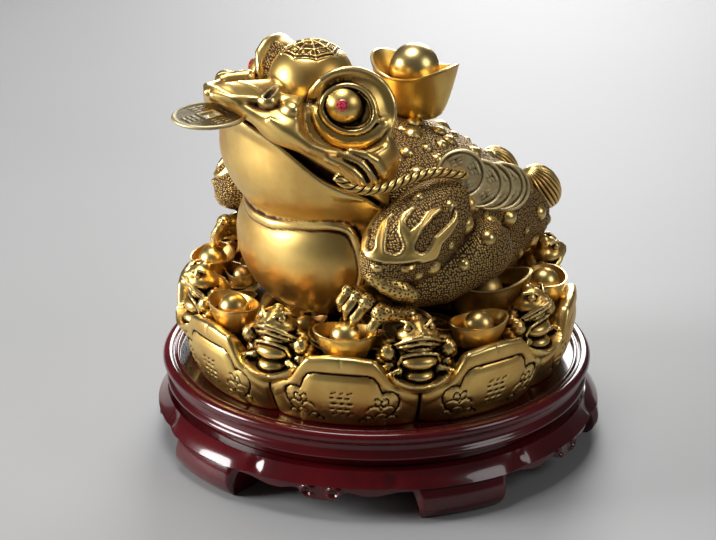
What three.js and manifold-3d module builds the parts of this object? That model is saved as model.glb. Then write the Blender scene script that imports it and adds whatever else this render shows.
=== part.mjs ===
// Money toad: a cast brass toad with a coin in its mouth, seated on a round base of lotus petals, on a turned stand.
// Millimetres, +Z up. The toad faces -Y, and the origin is the centre of the stand's underside.
import * as THREE from "three";
import { mergeVertices } from "three/addons/utils/BufferGeometryUtils.js";
import Module from "manifold-3d";

const wasm = await Module();
wasm.setup();

// Sizes of the stand
const gap = 0.3; // between pieces that touch
const standRadius = 113; // outer edge of the foot frame
const frameTopRadius = 105;
const frameInnerRadius = 80;
const footHeight = 14.6; // floor to the underside of the apron
const apronHeight = 9.4;
const footCount = 5;
const footWidth = 46;
const footDepth = 16; // along the radius
const footTaper = 0.86; // width at the floor, as a share of the width at the apron
const firstFootAngle = -85; // degrees, counter-clockwise from +X
const neckRadius = 99.5;
const neckHeight = 4.5;
const trayRadius = 107;
const trayBand = 14.7; // height of the tray above its neck
const recessDepth = 3.3; // of the seat that takes the casting
const standSides = 32; // flats round the turned pieces

// Sizes of the cast base
const baseFootRadius = 91;
const petalBulge = 8.5; // how far the petals swell past the foot
const petalCount = 8;
const petalHeight = 37.5; // foot to the flat top of a petal
const shoulderDrop = 17; // flat top down to a petal's shoulder
const valleyDrop = 7; // shoulder down to the notch between petals
const moundRise = 4; // of the mound's middle above the petals
const ingotLength = 31;
const ingotWidth = 21;
const ingotHeight = 15.5;
const smallToadHeight = 37;

// Sizes of the figure and of what it carries
const figureHeight = 130; // petal tops to the crown of the head
const backIngotLength = 47;
const backIngotWidth = 34;
const backIngotHeight = 28;
const backIngotTurn = 18; // degrees
const ropeRadius = 2.4;
const ropeCoinRadius = 11.8;
const ropeCoinThickness = 2;
const mouthCoinRadius = 18;
const mouthCoinThickness = 2.2;
const mouthCoinHole = 7; // side of the square hole
const gemRadius = 3;
const gemDepth = 2.4;

// Heights that follow from the sizes
const frameTop = footHeight + apronHeight;
const trayBottom = frameTop + gap;
const trayTop = trayBottom + neckHeight + trayBand;
const baseFoot = trayTop - recessDepth + gap;
const petalTop = baseFoot + petalHeight;

// The figure is drawn on a grid with 130 steps in its height, with its zero at the petal tops.
const figureSteps = 130;
const step = figureHeight / figureSteps;
const backIngotSeat = [0, 22, 82.5];

// Solids from geometries
function solidOf(geometry) {
  geometry.deleteAttribute("normal");
  geometry.deleteAttribute("uv");
  const merged = mergeVertices(geometry, 1e-4);
  return new wasm.Manifold(
    new wasm.Mesh({
      numProp: 3,
      vertProperties: merged.attributes.position.array,
      triVerts: new Uint32Array(merged.index.array),
    }),
  );
}

function geometryOf(solid) {
  const mesh = solid.getMesh();
  const geometry = new THREE.BufferGeometry();
  geometry.setAttribute("position", new THREE.BufferAttribute(mesh.vertProperties, 3));
  geometry.setIndex(new THREE.BufferAttribute(mesh.triVerts, 1));
  geometry.computeVertexNormals();
  return geometry;
}

function join(solids) {
  return solids.reduce((sum, solid) => sum.add(solid));
}

const onFigure = (geometry) => solidOf(geometry.scale(step, step, step).translate(0, 0, petalTop));

function signedVolume(points, faces) {
  return faces.reduce((sum, [i, j, k]) => {
    const cross = new THREE.Vector3().crossVectors(points[j], points[k]);
    return sum + points[i].dot(cross);
  }, 0);
}

// A closed skin over rings of points, where a ring of one point is an end.
function skin(rings) {
  const points = rings.flat();
  const starts = rings.map((_, i) => rings.slice(0, i).flat().length);
  const faces = [];
  for (let i = 0; i + 1 < rings.length; i++) {
    const low = rings[i].length;
    const high = rings[i + 1].length;
    const sides = Math.max(low, high);
    for (let j = 0; j < sides; j++) {
      const next = (j + 1) % sides;
      const a = starts[i] + (j % low);
      const b = starts[i] + (next % low);
      const c = starts[i + 1] + (next % high);
      const d = starts[i + 1] + (j % high);
      if (low > 1) faces.push([a, b, c]);
      if (high > 1) faces.push([a, c, d]);
    }
  }
  if (signedVolume(points, faces) < 0) faces.forEach((face) => face.reverse());
  const geometry = new THREE.BufferGeometry().setFromPoints(points);
  return geometry.setIndex(faces.flat());
}

const turned = (count, make) => Array.from({ length: count }, (_, i) => make((i / count) * 2 * Math.PI));

// A round limb along a path, with its own radius at each point and pointed ends.
function limb(points, radii, sides) {
  const path = points.map((point) => new THREE.Vector3(...point));
  const last = path.length - 1;
  const rings = path.map((point, i) => {
    const along = path[Math.min(i + 1, last)].clone().sub(path[Math.max(i - 1, 0)]).normalize();
    const side = new THREE.Vector3(0.3, 0.2, 1).cross(along).normalize();
    const up = along.clone().cross(side);
    return turned(sides, (angle) =>
      point.clone()
        .addScaledVector(side, radii[i] * Math.cos(angle))
        .addScaledVector(up, radii[i] * Math.sin(angle)),
    );
  });
  const end = (i, from) => [path[i].clone().add(path[i].clone().sub(path[from]).setLength(radii[i] * 0.8))];
  return skin([end(0, 1), ...rings, end(last, last - 1)]);
}

// An ellipsoid: tilt lifts its front, and yaw turns it about the vertical.
function ball(centre, radii, around, rows, tilt = 0, yaw = 0) {
  const geometry = new THREE.SphereGeometry(1, around, rows).rotateX(Math.PI / 2).scale(...radii);
  geometry.rotateX(THREE.MathUtils.degToRad(-tilt)).rotateZ(THREE.MathUtils.degToRad(yaw));
  return geometry.translate(...centre);
}

// Signed fields, negative inside, for the masses that flow into each other
const square = (value) => value * value;

function blend(a, b, width) {
  const mix = Math.max(width - Math.abs(a - b), 0) / width;
  return Math.min(a, b) - (mix * mix * width) / 4;
}

const trim = (a, b, width) => -blend(-a, -b, width);

function oval([x, y, z], centre, radii, tilt = 0) {
  const angle = THREE.MathUtils.degToRad(-tilt);
  const dx = (x - centre[0]) / radii[0];
  const dy = y - centre[1];
  const dz = z - centre[2];
  const ty = (dy * Math.cos(angle) + dz * Math.sin(angle)) / radii[1];
  const tz = (dz * Math.cos(angle) - dy * Math.sin(angle)) / radii[2];
  const length = Math.hypot(dx, ty, tz);
  const slope = Math.hypot(dx / radii[0], ty / radii[1], tz / radii[2]);
  return (length * (length - 1)) / Math.max(slope, 1e-6);
}

function bar([x, y, z], from, to, radiusFrom, radiusTo) {
  const line = to.map((value, i) => value - from[i]);
  const local = [x - from[0], y - from[1], z - from[2]];
  const dot = local[0] * line[0] + local[1] * line[1] + local[2] * line[2];
  const share = THREE.MathUtils.clamp(dot / (square(line[0]) + square(line[1]) + square(line[2])), 0, 1);
  const off = local.map((value, i) => value - share * line[i]);
  return Math.hypot(...off) - radiusFrom - share * (radiusTo - radiusFrom);
}

// A solid with one surface point on each ray from its centre, found from outside on the field.
// The rays crowd together towards the front by the share `crowd`.
function carve(field, centre, around, rows, reach, crowd = 0) {
  const geometry = new THREE.SphereGeometry(1, around, rows).rotateX(Math.PI / 2);
  const place = geometry.attributes.position;
  const at = (ray, r) => [centre[0] + ray.x * r, centre[1] + ray.y * r, centre[2] + ray.z * r];
  for (let i = 0; i < place.count; i++) {
    const ray = new THREE.Vector3().fromBufferAttribute(place, i).normalize();
    const fromFront = Math.atan2(ray.x, -ray.y);
    ray.applyAxisAngle(new THREE.Vector3(0, 0, 1), -crowd * Math.sin(fromFront));
    let outer = reach;
    while (outer > 1 && field(at(ray, outer - 1)) > 0) outer -= 1;
    let inner = outer - 1;
    for (let pass = 0; pass < 12; pass++) {
      const middle = (outer + inner) / 2;
      if (field(at(ray, middle)) > 0) outer = middle;
      else inner = middle;
    }
    place.setXYZ(i, ...at(ray, inner));
  }
  return geometry;
}

// The eye's own directions: out of the head, up along the lid, and towards the rear
const eyeCentre = [34.8, -42.9, 107.2];
const eyeOut = new THREE.Vector3(0.74, -0.6, 0.3).normalize();
const eyeUp = new THREE.Vector3(0, 0, 1).addScaledVector(eyeOut, -eyeOut.z).normalize();
const eyeRear = eyeUp.clone().cross(eyeOut);

function onEye(side, rear, up, out) {
  const point = new THREE.Vector3(...eyeCentre)
    .addScaledVector(eyeRear, rear)
    .addScaledVector(eyeUp, up)
    .addScaledVector(eyeOut, out);
  return [point.x * side, point.y, point.z];
}

// A place as its distances from the near eye: rearward, up the lid and out
function fromEye([x, y, z]) {
  const offset = new THREE.Vector3(Math.abs(x), y, z).sub(new THREE.Vector3(...eyeCentre));
  return [offset.dot(eyeRear), offset.dot(eyeUp), offset.dot(eyeOut)];
}

// The mouth: a sloping surface with a pointed oval plan, from the snout back to the corners
const mouthMiddle = -38;
const mouthHalfWidth = 57.5;
const snoutReach = 55.5;
const snoutPower = 1.38;
const jawReach = 43.5;
const jawPower = 1.5;
const lipShare = 0.955; // the lips' centre line, as a share of the plan
const mouthHeight = (y) => 114 - 0.81 * (y + 95);
const jawHeight = (y) => mouthHeight(y) - 4.5 - 7 * Math.exp(-square((y + 54) / 13));

function mouthPlan(x, y, reach, power) {
  const ahead = Math.max(mouthMiddle - y, 0) / reach;
  return ((Math.abs(x) / mouthHalfWidth) ** power + ahead ** power) ** (1 / power);
}

function headField(point) {
  const [x, y, z] = point;
  const plan = mouthPlan(x, y, snoutReach, snoutPower);
  const top = mouthHeight(y) + 3 + 34 * Math.max(1 - plan, 0) ** 0.8;
  let d = trim((z - top) * 0.62, (plan - 1) * 42, 4);
  d = trim(d, y + 30, 6);
  d = blend(d, oval(point, [0, -36, 90], [47, 27, 18]), 8);
  d = blend(d, oval([Math.abs(x), y, z], [46, -37, 82], [10, 16, 15]), 8);
  d = blend(d, bar(point, [0, -86, 111.5], [0, -62, 108], 2.5, 8), 6);
  d = blend(d, oval(fromEye(point), [1.5, -3, -11], [22.5, 22, 11]), 5);
  d = trim(d, -oval(fromEye(point), [0, 0.8, 0], [12.2, 9.8, 7]), 1.5);
  return trim(d, (mouthHeight(y) - z) * 0.777 - 1, 3);
}

function jawField(point) {
  const [x, y, z] = point;
  const floor = jawHeight(y);
  const plan = mouthPlan(x, y, jawReach, jawPower);
  const waist = 1 - 0.011 * Math.max(floor - z, 0);
  let d = trim((plan - waist) * 40, (z - floor) * 0.777, 2.5);
  d = trim(d, (floor - 18 - z) * 0.777, 6);
  d = trim(d, y + 30, 4);
  return blend(d, oval(point, [0, -43, 78], [49, 35.5, 36]), 9);
}

function trunkField(point) {
  const side = [Math.abs(point[0]), point[1], point[2]];
  let d = oval(point, [0, 6, 49], [55, 48, 35], 6);
  d = blend(d, oval(point, [0, 44, 36], [47, 44, 27], 24), 12);
  d = blend(d, oval(side, [21, 76, 24], [18, 19, 17], 20), 7);
  return blend(d, oval(point, [0, 20, 17], [54, 60, 26]), 8);
}

// A part ring about the eye, thick in its middle and thin at its ends.
function lidArc(side, rear, up, out, radius, thick, from, to, count) {
  const points = [];
  const radii = [];
  for (let i = 0; i <= count; i++) {
    const angle = THREE.MathUtils.degToRad(from + ((to - from) * i) / count);
    points.push(onEye(side, rear + radius * Math.cos(angle), up + radius * Math.sin(angle), out));
    radii.push(thick * (0.35 + 0.65 * Math.sin((Math.PI * i) / count) ** 0.6));
  }
  return limb(points, radii, 4);
}

const eyeBall = [-0.6, 0.6, -3]; // rearward, up and out from the eye's centre
const eyeBallRadius = 9.6;

function eye(side) {
  return [
    lidArc(side, 2.1, -5.6, 0.5, 19.2, 4.3, -46, 226, 9), // brow
    lidArc(side, 0, 1.4, 1, 12, 1.8, -14, 194, 6), // upper lid
    lidArc(side, 0, 0.2, 1, 11.6, 2.2, 188, 352, 4), // lower lid
    ball(onEye(side, ...eyeBall), [eyeBallRadius, eyeBallRadius, eyeBallRadius], 8, 5),
  ].map(onFigure);
}

function lip(reach, power, height, thick) {
  const points = [];
  const count = 8;
  for (let i = 0; i <= count; i++) {
    const angle = Math.PI * (0.06 + (0.88 * i) / count);
    const x = mouthHalfWidth * lipShare * Math.sign(Math.cos(angle)) * Math.abs(Math.cos(angle)) ** (2 / power);
    const y = mouthMiddle - reach * lipShare * Math.sin(angle) ** (2 / power);
    points.push([x, y, height(y)]);
  }
  return limb(points, points.map(() => thick), 4);
}

// The head with its lips, crown, nostrils and eyes
function head() {
  return [
    onFigure(carve(headField, [0, -46, 92], 24, 11, 75, 0.3)),
    onFigure(carve(jawField, [0, -44, 66], 20, 8, 75)),
    onFigure(lip(snoutReach, snoutPower, (y) => mouthHeight(y) + 1.5, 2.6)),
    onFigure(lip(jawReach, jawPower, jawHeight, 2.7)),
    onFigure(ball([0, -38, 109], [20.5, 21, 21], 12, 8)),
    ...[1, -1].flatMap((side) => [
      onFigure(ball([17 * side, -70, 111.5], [6.5, 8, 4.5], 7, 4)),
      ...eye(side),
    ]),
  ];
}

// The trunk with its belly, the two fluted lobes of the rump and the hind leg
function trunk() {
  return [
    onFigure(ball([0, -36, 31], [48, 34.5, 38], 14, 8)),
    onFigure(carve(trunkField, [0, 20, 36], 20, 10, 110)),
    onFigure(limb([[0, 62, 22], [0, 78, 12], [0, 88, 3]], [14, 11, 7], 7)),
    ...[1, -1].map((side) => onFigure(ball([21 * side, 87, 38], [9.5, 9, 12.5], 7, 5, 38))),
  ];
}

// A front leg: upper arm, forearm, heel of the hand, and fingers with knuckles and claws
const fingers = [
  { knuckle: [55, -54, 25], radius: 3.5, tip: [54, -59.5, 17] },
  { knuckle: [58.5, -52, 23], radius: 3.6, tip: [57.5, -58.5, 14] },
  { knuckle: [62.5, -48, 20.8], radius: 4.1, tip: [62, -57, 9] },
  { knuckle: [68, -42.5, 17], radius: 4.1, tip: [69, -50, 6.5] },
];

function frontLeg(side) {
  const flip = ([x, y, z]) => [x * side, y, z];
  const palm = flip([60, -36, 20]);
  return [
    ball(flip([61, -20, 48]), [17.5, 35, 20], 12, 8, -24, 8 * side),
    limb([[66, 16, 36], [66, -10, 24], [60, -36, 20]].map(flip), [14, 12, 8], 7),
    limb([[60, -44, 27], [67, -22, 17]].map(flip), [4.6, 5], 5),
    ...fingers.map(({ knuckle, radius, tip }) => {
      const claw = knuckle.map((value, i) => value + (tip[i] - value) * 0.4);
      return limb([palm, flip(knuckle), flip(claw), flip(tip)], [3.6, radius, 2.3, 0.9], 4);
    }),
  ].map(onFigure);
}

// A boat-shaped ingot with raised ends and a dome in its hollow, from its underside upwards
function ingot(length, width, height, count) {
  const ring = (share, lift) =>
    turned(count, (angle) => {
      const x = (length / 2) * share * Math.cos(angle);
      return new THREE.Vector3(x, (width / 2) * share * Math.sin(angle), lift(square(Math.cos(angle))));
    });
  const rim = (across) => height * (0.62 + 0.38 * across);
  const round = (angle) => {
    const radius = width * 0.33 * Math.cos(angle);
    const lift = height * 0.6 + width * 0.33 * Math.sin(angle);
    return turned(count, (turn) => new THREE.Vector3(radius * Math.cos(turn), radius * Math.sin(turn), lift));
  };
  return skin([
    [new THREE.Vector3(0, 0, 0)],
    ring(0.56, () => 0),
    ring(1, rim),
    ring(0.7, () => height * 0.42),
    round(0),
    round(0.8),
    [new THREE.Vector3(0, 0, height * 0.6 + width * 0.33)],
  ]);
}

function backIngot() {
  const geometry = ingot(backIngotLength, backIngotWidth, backIngotHeight, 12);
  geometry.rotateZ(THREE.MathUtils.degToRad(backIngotTurn));
  const [x, y, z] = backIngotSeat.map((value) => value * step);
  return solidOf(geometry.translate(x, y, z + petalTop));
}

// The rope from the corner of the mouth to the coins on the flank, as points of the figure's grid
const ropePath = [
  [55, -59, 82],
  [58, -55, 77],
  [60, -45.5, 74],
  [60.5, -37, 73.5],
  [61, -29, 75.4],
  [61, -20, 77.5],
  [61.5, -12, 77.9],
  [62, -4, 75.9],
  [62, 4.4, 72],
];
const ropeCoins = [
  [60.5, 5.5, 72.1],
  [57.5, 16.4, 64.2],
  [55, 24.6, 60.4],
  [52, 33.6, 57.7],
  [49.5, 40, 55],
];
const coinFacing = new THREE.Vector3(0.8, -0.46, 0.38).normalize();

function ropeAndCoins(side) {
  const mirror = new THREE.Vector3(side, 1, 1);
  const rope = limb(ropePath.map(([x, y, z]) => [x * side, y, z]), ropePath.map(() => ropeRadius / step), 4);
  const up = new THREE.Vector3(0, 1, 0);
  const turn = new THREE.Quaternion().setFromUnitVectors(up, coinFacing.clone().multiply(mirror));
  const coins = ropeCoins.map((place) => {
    const [x, y, z] = new THREE.Vector3(...place).multiply(mirror).multiplyScalar(step).toArray();
    const coin = new THREE.CylinderGeometry(ropeCoinRadius, ropeCoinRadius, ropeCoinThickness, 8);
    return solidOf(coin.applyQuaternion(turn).translate(x, y, z + petalTop));
  });
  return [onFigure(rope), ...coins];
}

// The base: petals with bracket-shaped tops around a low mound
const ease = (value, from, to) => THREE.MathUtils.smoothstep(value, from, to);
const petalStations = [-1, -0.66, -0.33, 0.33, 0.66];
const panelDepth = 1.4; // of the sunk middle of each petal

const petalEdge = (across) => petalTop - shoulderDrop * ease(across, 0.3, 0.66) - valleyDrop * ease(across, 0.74, 1);

function moundHeight(radius) {
  const rise = petalHeight * 0.52 + moundRise;
  return petalTop + moundRise - rise * (1 - Math.sqrt(1 - square(radius / (baseFootRadius + 1))));
}

function petalSection(angle, across) {
  const edge = petalEdge(across);
  const notch = 4 * across ** 6;
  const at = (radius, height) => new THREE.Vector3(radius * Math.sin(angle), -radius * Math.cos(angle), height);
  const face = (share) => {
    const height = baseFoot + (edge - baseFoot) * share;
    const swell = Math.min((height - baseFoot) / (petalHeight * 0.78), 1) ** 0.8;
    return [baseFootRadius + petalBulge * Math.sin((Math.PI / 2) * swell) - notch, height];
  };
  const [brow, browHeight] = face(0.93);
  const inner = baseFootRadius - 7;
  const floor = baseFootRadius - 14;
  const sunk = panelDepth * (1 - ease(across, 0.4, 0.6));
  const panel = (share) => {
    const [radius, height] = face(share);
    return [radius - sunk, height];
  };
  return [
    at(...face(0)),
    at(...face(0.2)),
    at(...panel(0.32)),
    at(...panel(0.68)),
    at(...face(0.76)),
    at(brow, browHeight),
    at(brow - 3.5, edge),
    at(inner, Math.max(edge - 0.5, baseFoot + petalHeight * 0.5)),
    at(floor, moundHeight(floor)),
  ];
}

function petalBase() {
  const half = Math.PI / petalCount;
  const sections = [];
  for (let petal = 0; petal < petalCount; petal++) {
    for (const share of petalStations) {
      sections.push(petalSection((2 * petal + share) * half, Math.abs(share)));
    }
  }
  const rings = sections[0].map((_, i) => sections.map((section) => section[i]));
  const foot = [new THREE.Vector3(0, 0, baseFoot)];
  const crown = [new THREE.Vector3(0, 0, moundHeight(0))];
  return solidOf(skin([foot, ...rings, crown]));
}

// A small toad that faces out, on a grid with 37 steps in its height
const smallSteps = 37;

function smallToadField([x, y, z]) {
  const side = [Math.abs(x), y, z];
  let d = oval(side, [0, -4, 15], [9, 8, 5]);
  d = blend(d, oval(side, [0, 3, 13], [9, 8, 13]), 2);
  d = blend(d, bar(side, [8, 2, 19], [15.5, -2, 16], 4, 3.8), 1);
  d = blend(d, bar(side, [15.5, -2, 16], [12, -7, 8], 3.4, 2.6), 1);
  return Math.min(d, oval(side, [0, -6, 5], [13.5, 9, 4.5]));
}

function smallToad(turn) {
  const size = smallToadHeight / smallSteps;
  const shapes = [
    carve(smallToadField, [0, 0, 14], 8, 7, 24, 0.35),
    ball([0, -2, 26], [11, 11.5, 7], 8, 4, 10),
    ...[1, -1].map((side) => ball([6.6 * side, -4, 30.5], [4, 4, 4], 5, 3)),
  ];
  const seat = petalTop - shoulderDrop - valleyDrop;
  return shapes.map((shape) => {
    const placed = shape.scale(size, size, size).translate(0, -(baseFootRadius - 7), seat);
    return solidOf(placed.rotateZ(turn));
  });
}

function baseFigures() {
  const figures = [];
  for (let i = 0; i < petalCount; i++) {
    const onPetal = (2 * Math.PI * i) / petalCount;
    const boat = ingot(ingotLength, ingotWidth, ingotHeight, 8);
    figures.push(solidOf(boat.translate(0, -(baseFootRadius - 8), petalTop - 1).rotateZ(onPetal)));
    figures.push(...smallToad(onPetal + Math.PI / petalCount));
  }
  return figures;
}

// The loose coin in the mouth, and the slot that it lies in
const mouthCoinPlace = [0, -94.2 * step, petalTop + 103 * step];
const mouthCoinTilt = THREE.MathUtils.degToRad(7);

function mouthCoin(play) {
  const outline = new THREE.Shape().absarc(0, 0, mouthCoinRadius + play, 0, 2 * Math.PI);
  const half = mouthCoinHole / 2;
  if (!play) {
    const corners = [[-half, -half], [-half, half], [half, half], [half, -half]];
    outline.holes.push(new THREE.Path(corners.map(([x, y]) => new THREE.Vector2(x, y))));
  }
  const thick = mouthCoinThickness + 2 * play;
  const geometry = new THREE.ExtrudeGeometry(outline, { depth: thick, bevelEnabled: false, curveSegments: 12 });
  return solidOf(geometry.translate(0, 0, -thick / 2).rotateX(-mouthCoinTilt).translate(...mouthCoinPlace));
}

// A cut stone, pointed at the back, and the pocket that holds it
function gem(side, play) {
  const girdle = gemRadius + play;
  const table = gemDepth * 0.35 + play;
  const profile = [
    [0, -gemDepth - play],
    [girdle, 0],
    [girdle * 0.6, table],
    [0, table],
  ];
  const geometry = new THREE.LatheGeometry(profile.map(([x, y]) => new THREE.Vector2(x, y)), 8);
  const out = eyeOut.clone().multiply(new THREE.Vector3(side, 1, 1));
  geometry.applyQuaternion(new THREE.Quaternion().setFromUnitVectors(new THREE.Vector3(0, 1, 0), out));
  const centre = new THREE.Vector3(...onEye(side, ...eyeBall)).multiplyScalar(step);
  centre.addScaledVector(out, eyeBallRadius * step - gemDepth * 0.05);
  return solidOf(geometry.translate(centre.x, centre.y, centre.z + petalTop));
}

function casting() {
  const body = join([
    petalBase(),
    ...baseFigures(),
    ...trunk(),
    ...head(),
    ...[1, -1].flatMap((side) => [...frontLeg(side), ...ropeAndCoins(side)]),
    backIngot(),
  ]);
  return [mouthCoin(gap), gem(1, gap), gem(-1, gap)].reduce((rest, pocket) => rest.subtract(pocket), body);
}

// The stand: a turned tray on a ring with feet
function lathe(profile, sides) {
  return solidOf(new THREE.LatheGeometry(profile.map(([r, z]) => new THREE.Vector2(r, z)), sides).rotateX(Math.PI / 2));
}

function tray() {
  const recess = baseFootRadius + petalBulge - 1;
  const edge = (trayRadius + recess) / 2 + 2; // where the rim's round meets its flat
  const band = trayBottom + neckHeight;
  const rim = trayBand * 0.44; // height of the rim's round
  return lathe(
    [
      [0, trayBottom],
      [neckRadius, trayBottom],
      [neckRadius, band],
      [trayRadius - 2, band + 0.6],
      [trayRadius - 2.6, trayTop - rim - 1],
      [trayRadius, trayTop - rim * 0.7],
      [edge, trayTop],
      [recess, trayTop - 1],
      [recess, trayTop - recessDepth],
      [0, trayTop - recessDepth],
    ],
    standSides,
  );
}

function foot(angle) {
  const outer = standRadius - 1.5;
  const corner = (share, radius, height) => new THREE.Vector3(radius, (footWidth / 2) * share, height);
  const level = (share, out, height) => [
    corner(-share, outer - footDepth, height),
    corner(-share, outer - 3 - out, height),
    corner(-share * 0.5, outer - out, height),
    corner(share * 0.5, outer - out, height),
    corner(share, outer - 3 - out, height),
    corner(share, outer - footDepth, height),
  ];
  const middle = corner(0, outer - footDepth / 2, 0);
  return solidOf(
    skin([
      [middle],
      level(footTaper, 2, 0),
      level(0.94, 0, footHeight * 0.6),
      level(1, 0.5, footHeight + apronHeight * 0.4),
      [middle.clone().setZ(footHeight + apronHeight * 0.4)],
    ]).rotateZ(angle),
  );
}

function footFrame() {
  const ring = lathe(
    [
      [frameInnerRadius, footHeight],
      [standRadius - 2, footHeight],
      [standRadius, footHeight + apronHeight * 0.2],
      [frameTopRadius, frameTop],
      [frameInnerRadius, frameTop],
      [frameInnerRadius, footHeight],
    ],
    standSides,
  );
  const solids = [ring];
  for (let i = 0; i < footCount; i++) {
    solids.push(foot(THREE.MathUtils.degToRad(firstFootAngle + (360 * i) / footCount)));
  }
  return join(solids);
}

const brass = new THREE.MeshStandardMaterial({ color: 0xc49a3c, roughness: 0.32, metalness: 1 });
const agedBrass = new THREE.MeshStandardMaterial({ color: 0x8d7650, roughness: 0.45, metalness: 1 });
const redStone = new THREE.MeshStandardMaterial({ color: 0xd0243c, roughness: 0.08, metalness: 0 });
const redLacquer = new THREE.MeshStandardMaterial({ color: 0x4a0a10, roughness: 0.18, metalness: 0 });

const toadOnStand = new THREE.Group();

function addPiece(name, solid, material) {
  const mesh = new THREE.Mesh(geometryOf(solid), material);
  mesh.name = name;
  toadOnStand.add(mesh);
}

addPiece("stand_foot_frame", footFrame(), redLacquer);
addPiece("stand_tray", tray(), redLacquer);
addPiece("toad_casting", casting(), brass);
addPiece("coin_in_mouth", mouthCoin(0), agedBrass);
addPiece("eye_gem_left", gem(1, 0), redStone);
addPiece("eye_gem_right", gem(-1, 0), redStone);

export default toadOnStand;
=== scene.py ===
import math
import time

import bpy
import mathutils
import numpy as np
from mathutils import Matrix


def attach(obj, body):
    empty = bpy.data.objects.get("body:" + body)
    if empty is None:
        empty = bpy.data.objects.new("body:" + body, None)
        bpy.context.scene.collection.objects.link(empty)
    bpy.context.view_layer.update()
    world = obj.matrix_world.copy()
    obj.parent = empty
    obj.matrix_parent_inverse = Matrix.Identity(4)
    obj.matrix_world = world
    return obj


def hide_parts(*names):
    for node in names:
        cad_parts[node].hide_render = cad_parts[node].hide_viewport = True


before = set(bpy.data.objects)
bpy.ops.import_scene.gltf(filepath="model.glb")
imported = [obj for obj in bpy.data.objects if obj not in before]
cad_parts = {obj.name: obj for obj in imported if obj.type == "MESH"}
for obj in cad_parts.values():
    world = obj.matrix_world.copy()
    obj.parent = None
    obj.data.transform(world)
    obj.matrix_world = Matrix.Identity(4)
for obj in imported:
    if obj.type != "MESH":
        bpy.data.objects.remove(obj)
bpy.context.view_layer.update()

# The brass is sculpted as signed fields in millimetres, negative inside, then meshed in metres.
# The toad faces -Y and is the same on both sides, so most fields are written for x > 0.
mm = 0.001
f32 = np.float32
started = time.time()
coarse = 1.0


def report(stage):
    print(f"{stage}: {time.time() - started:.1f} s")


def unit(vector):
    vector = np.array(vector, float)
    return vector / np.linalg.norm(vector)


def cosSin(degrees):
    return math.cos(math.radians(degrees)), math.sin(math.radians(degrees))


def fullTurn(count):  # angles once round
    return np.linspace(0, 2 * math.pi, count, endpoint=False)


# Fields
def local(x, y, z, centre, tilt=0, yaw=0):  # places seen from a centre, turned by yaw and then tilted
    px, py, pz = x - f32(centre[0]), y - f32(centre[1]), z - f32(centre[2])
    if yaw:
        c, s = np.array(cosSin(yaw), f32)
        px, py = px * c + py * s, py * c - px * s
    if tilt:
        c, s = np.array(cosSin(-tilt), f32)
        py, pz = py * c + pz * s, pz * c - py * s
    return px, py, pz


def oval(x, y, z, centre, radii, tilt=0, yaw=0):
    rx, ry, rz = np.array(radii, f32)
    px, py, pz = local(x, y, z, centre, tilt, yaw)
    px, py, pz = px / rx, py / ry, pz / rz
    length = np.sqrt(px * px + py * py + pz * pz)
    slope = np.sqrt((px / rx) ** 2 + (py / ry) ** 2 + (pz / rz) ** 2)
    return length * (length - 1) / np.maximum(slope, 1e-6)


def bar(x, y, z, start, end, startRadius, endRadius):
    start, end = np.array(start, f32), np.array(end, f32)
    line = end - start
    px, py, pz = x - start[0], y - start[1], z - start[2]
    share = np.clip((px * line[0] + py * line[1] + pz * line[2]) / (line @ line), 0, 1)
    off = np.sqrt((px - share * line[0]) ** 2 + (py - share * line[1]) ** 2 + (pz - share * line[2]) ** 2)
    return off - startRadius - share * (endRadius - startRadius)


def chain(x, y, z, points, radii):
    joints = zip(points, points[1:], radii, radii[1:])
    return np.minimum.reduce([bar(x, y, z, a, b, ra, rb) for a, b, ra, rb in joints])


def melt(a, b, width):  # smooth union
    mix = np.maximum(width - np.abs(a - b), 0) / width
    return np.minimum(a, b) - mix * mix * (width / 4)


def trim(a, b, width):  # smooth intersection
    return -melt(-a, -b, width)


def joined(x, y, z, shapes, d=None):  # each shape melts into those before it, or only meets them at width 0
    for width, shape, *sizes in shapes:
        part = shape(x, y, z, *sizes)
        if d is None:
            d = part
        else:
            d = melt(d, part, width) if width else np.minimum(d, part)
    return d


def ease(value, low, high):
    share = np.clip((value - low) / (high - low), 0, 1)
    return share * share * (3 - 2 * share)


def rise(distance, reach):  # a soft bump, 1 in the middle and 0 at its reach
    share = np.clip(1 - (distance / reach) ** 2, 0, 1)
    return share * share


def smoothPath(points, spacing):
    points = np.array(points, float)
    padded = np.concatenate([[2 * points[0] - points[1]], points, [2 * points[-1] - points[-2]]])
    fine = []
    for a, b, c, d in zip(padded, padded[1:], padded[2:], padded[3:]):
        count = max(int(np.linalg.norm(c - b) / spacing), 2)
        t = np.linspace(0, 1, count, endpoint=False)[:, None]
        curve = 2 * b + (c - a) * t + (2 * a - 5 * b + 4 * c - d) * t ** 2 + (3 * b - a - 3 * c + d) * t ** 3
        fine.append(0.5 * curve)
    return np.concatenate(fine + [points[-1:]])


def cells(x, y, z, pitch):  # distance to the nearest of scattered points, for beaded skin
    at = np.stack([x, y, z], 1).astype(np.float64) / pitch
    home = np.floor(at).astype(np.int64)
    best = np.full(len(at), 9.0)
    for step in np.ndindex(3, 3, 3):
        cell = home + np.array(step) - 1
        seed = (cell[:, 0] * 73856093 ^ cell[:, 1] * 19349663 ^ cell[:, 2] * 83492791) & 0xFFFFFFFF
        seed = (seed ^ (seed >> 13)) * 1274126177 & 0xFFFFFFFF
        shift = np.stack([seed & 1023, (seed >> 10) & 1023, (seed >> 20) & 1023], 1) / 1023
        best = np.minimum(best, np.linalg.norm(cell + 0.15 + 0.7 * shift - at, axis=1))
    return best * pitch


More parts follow.
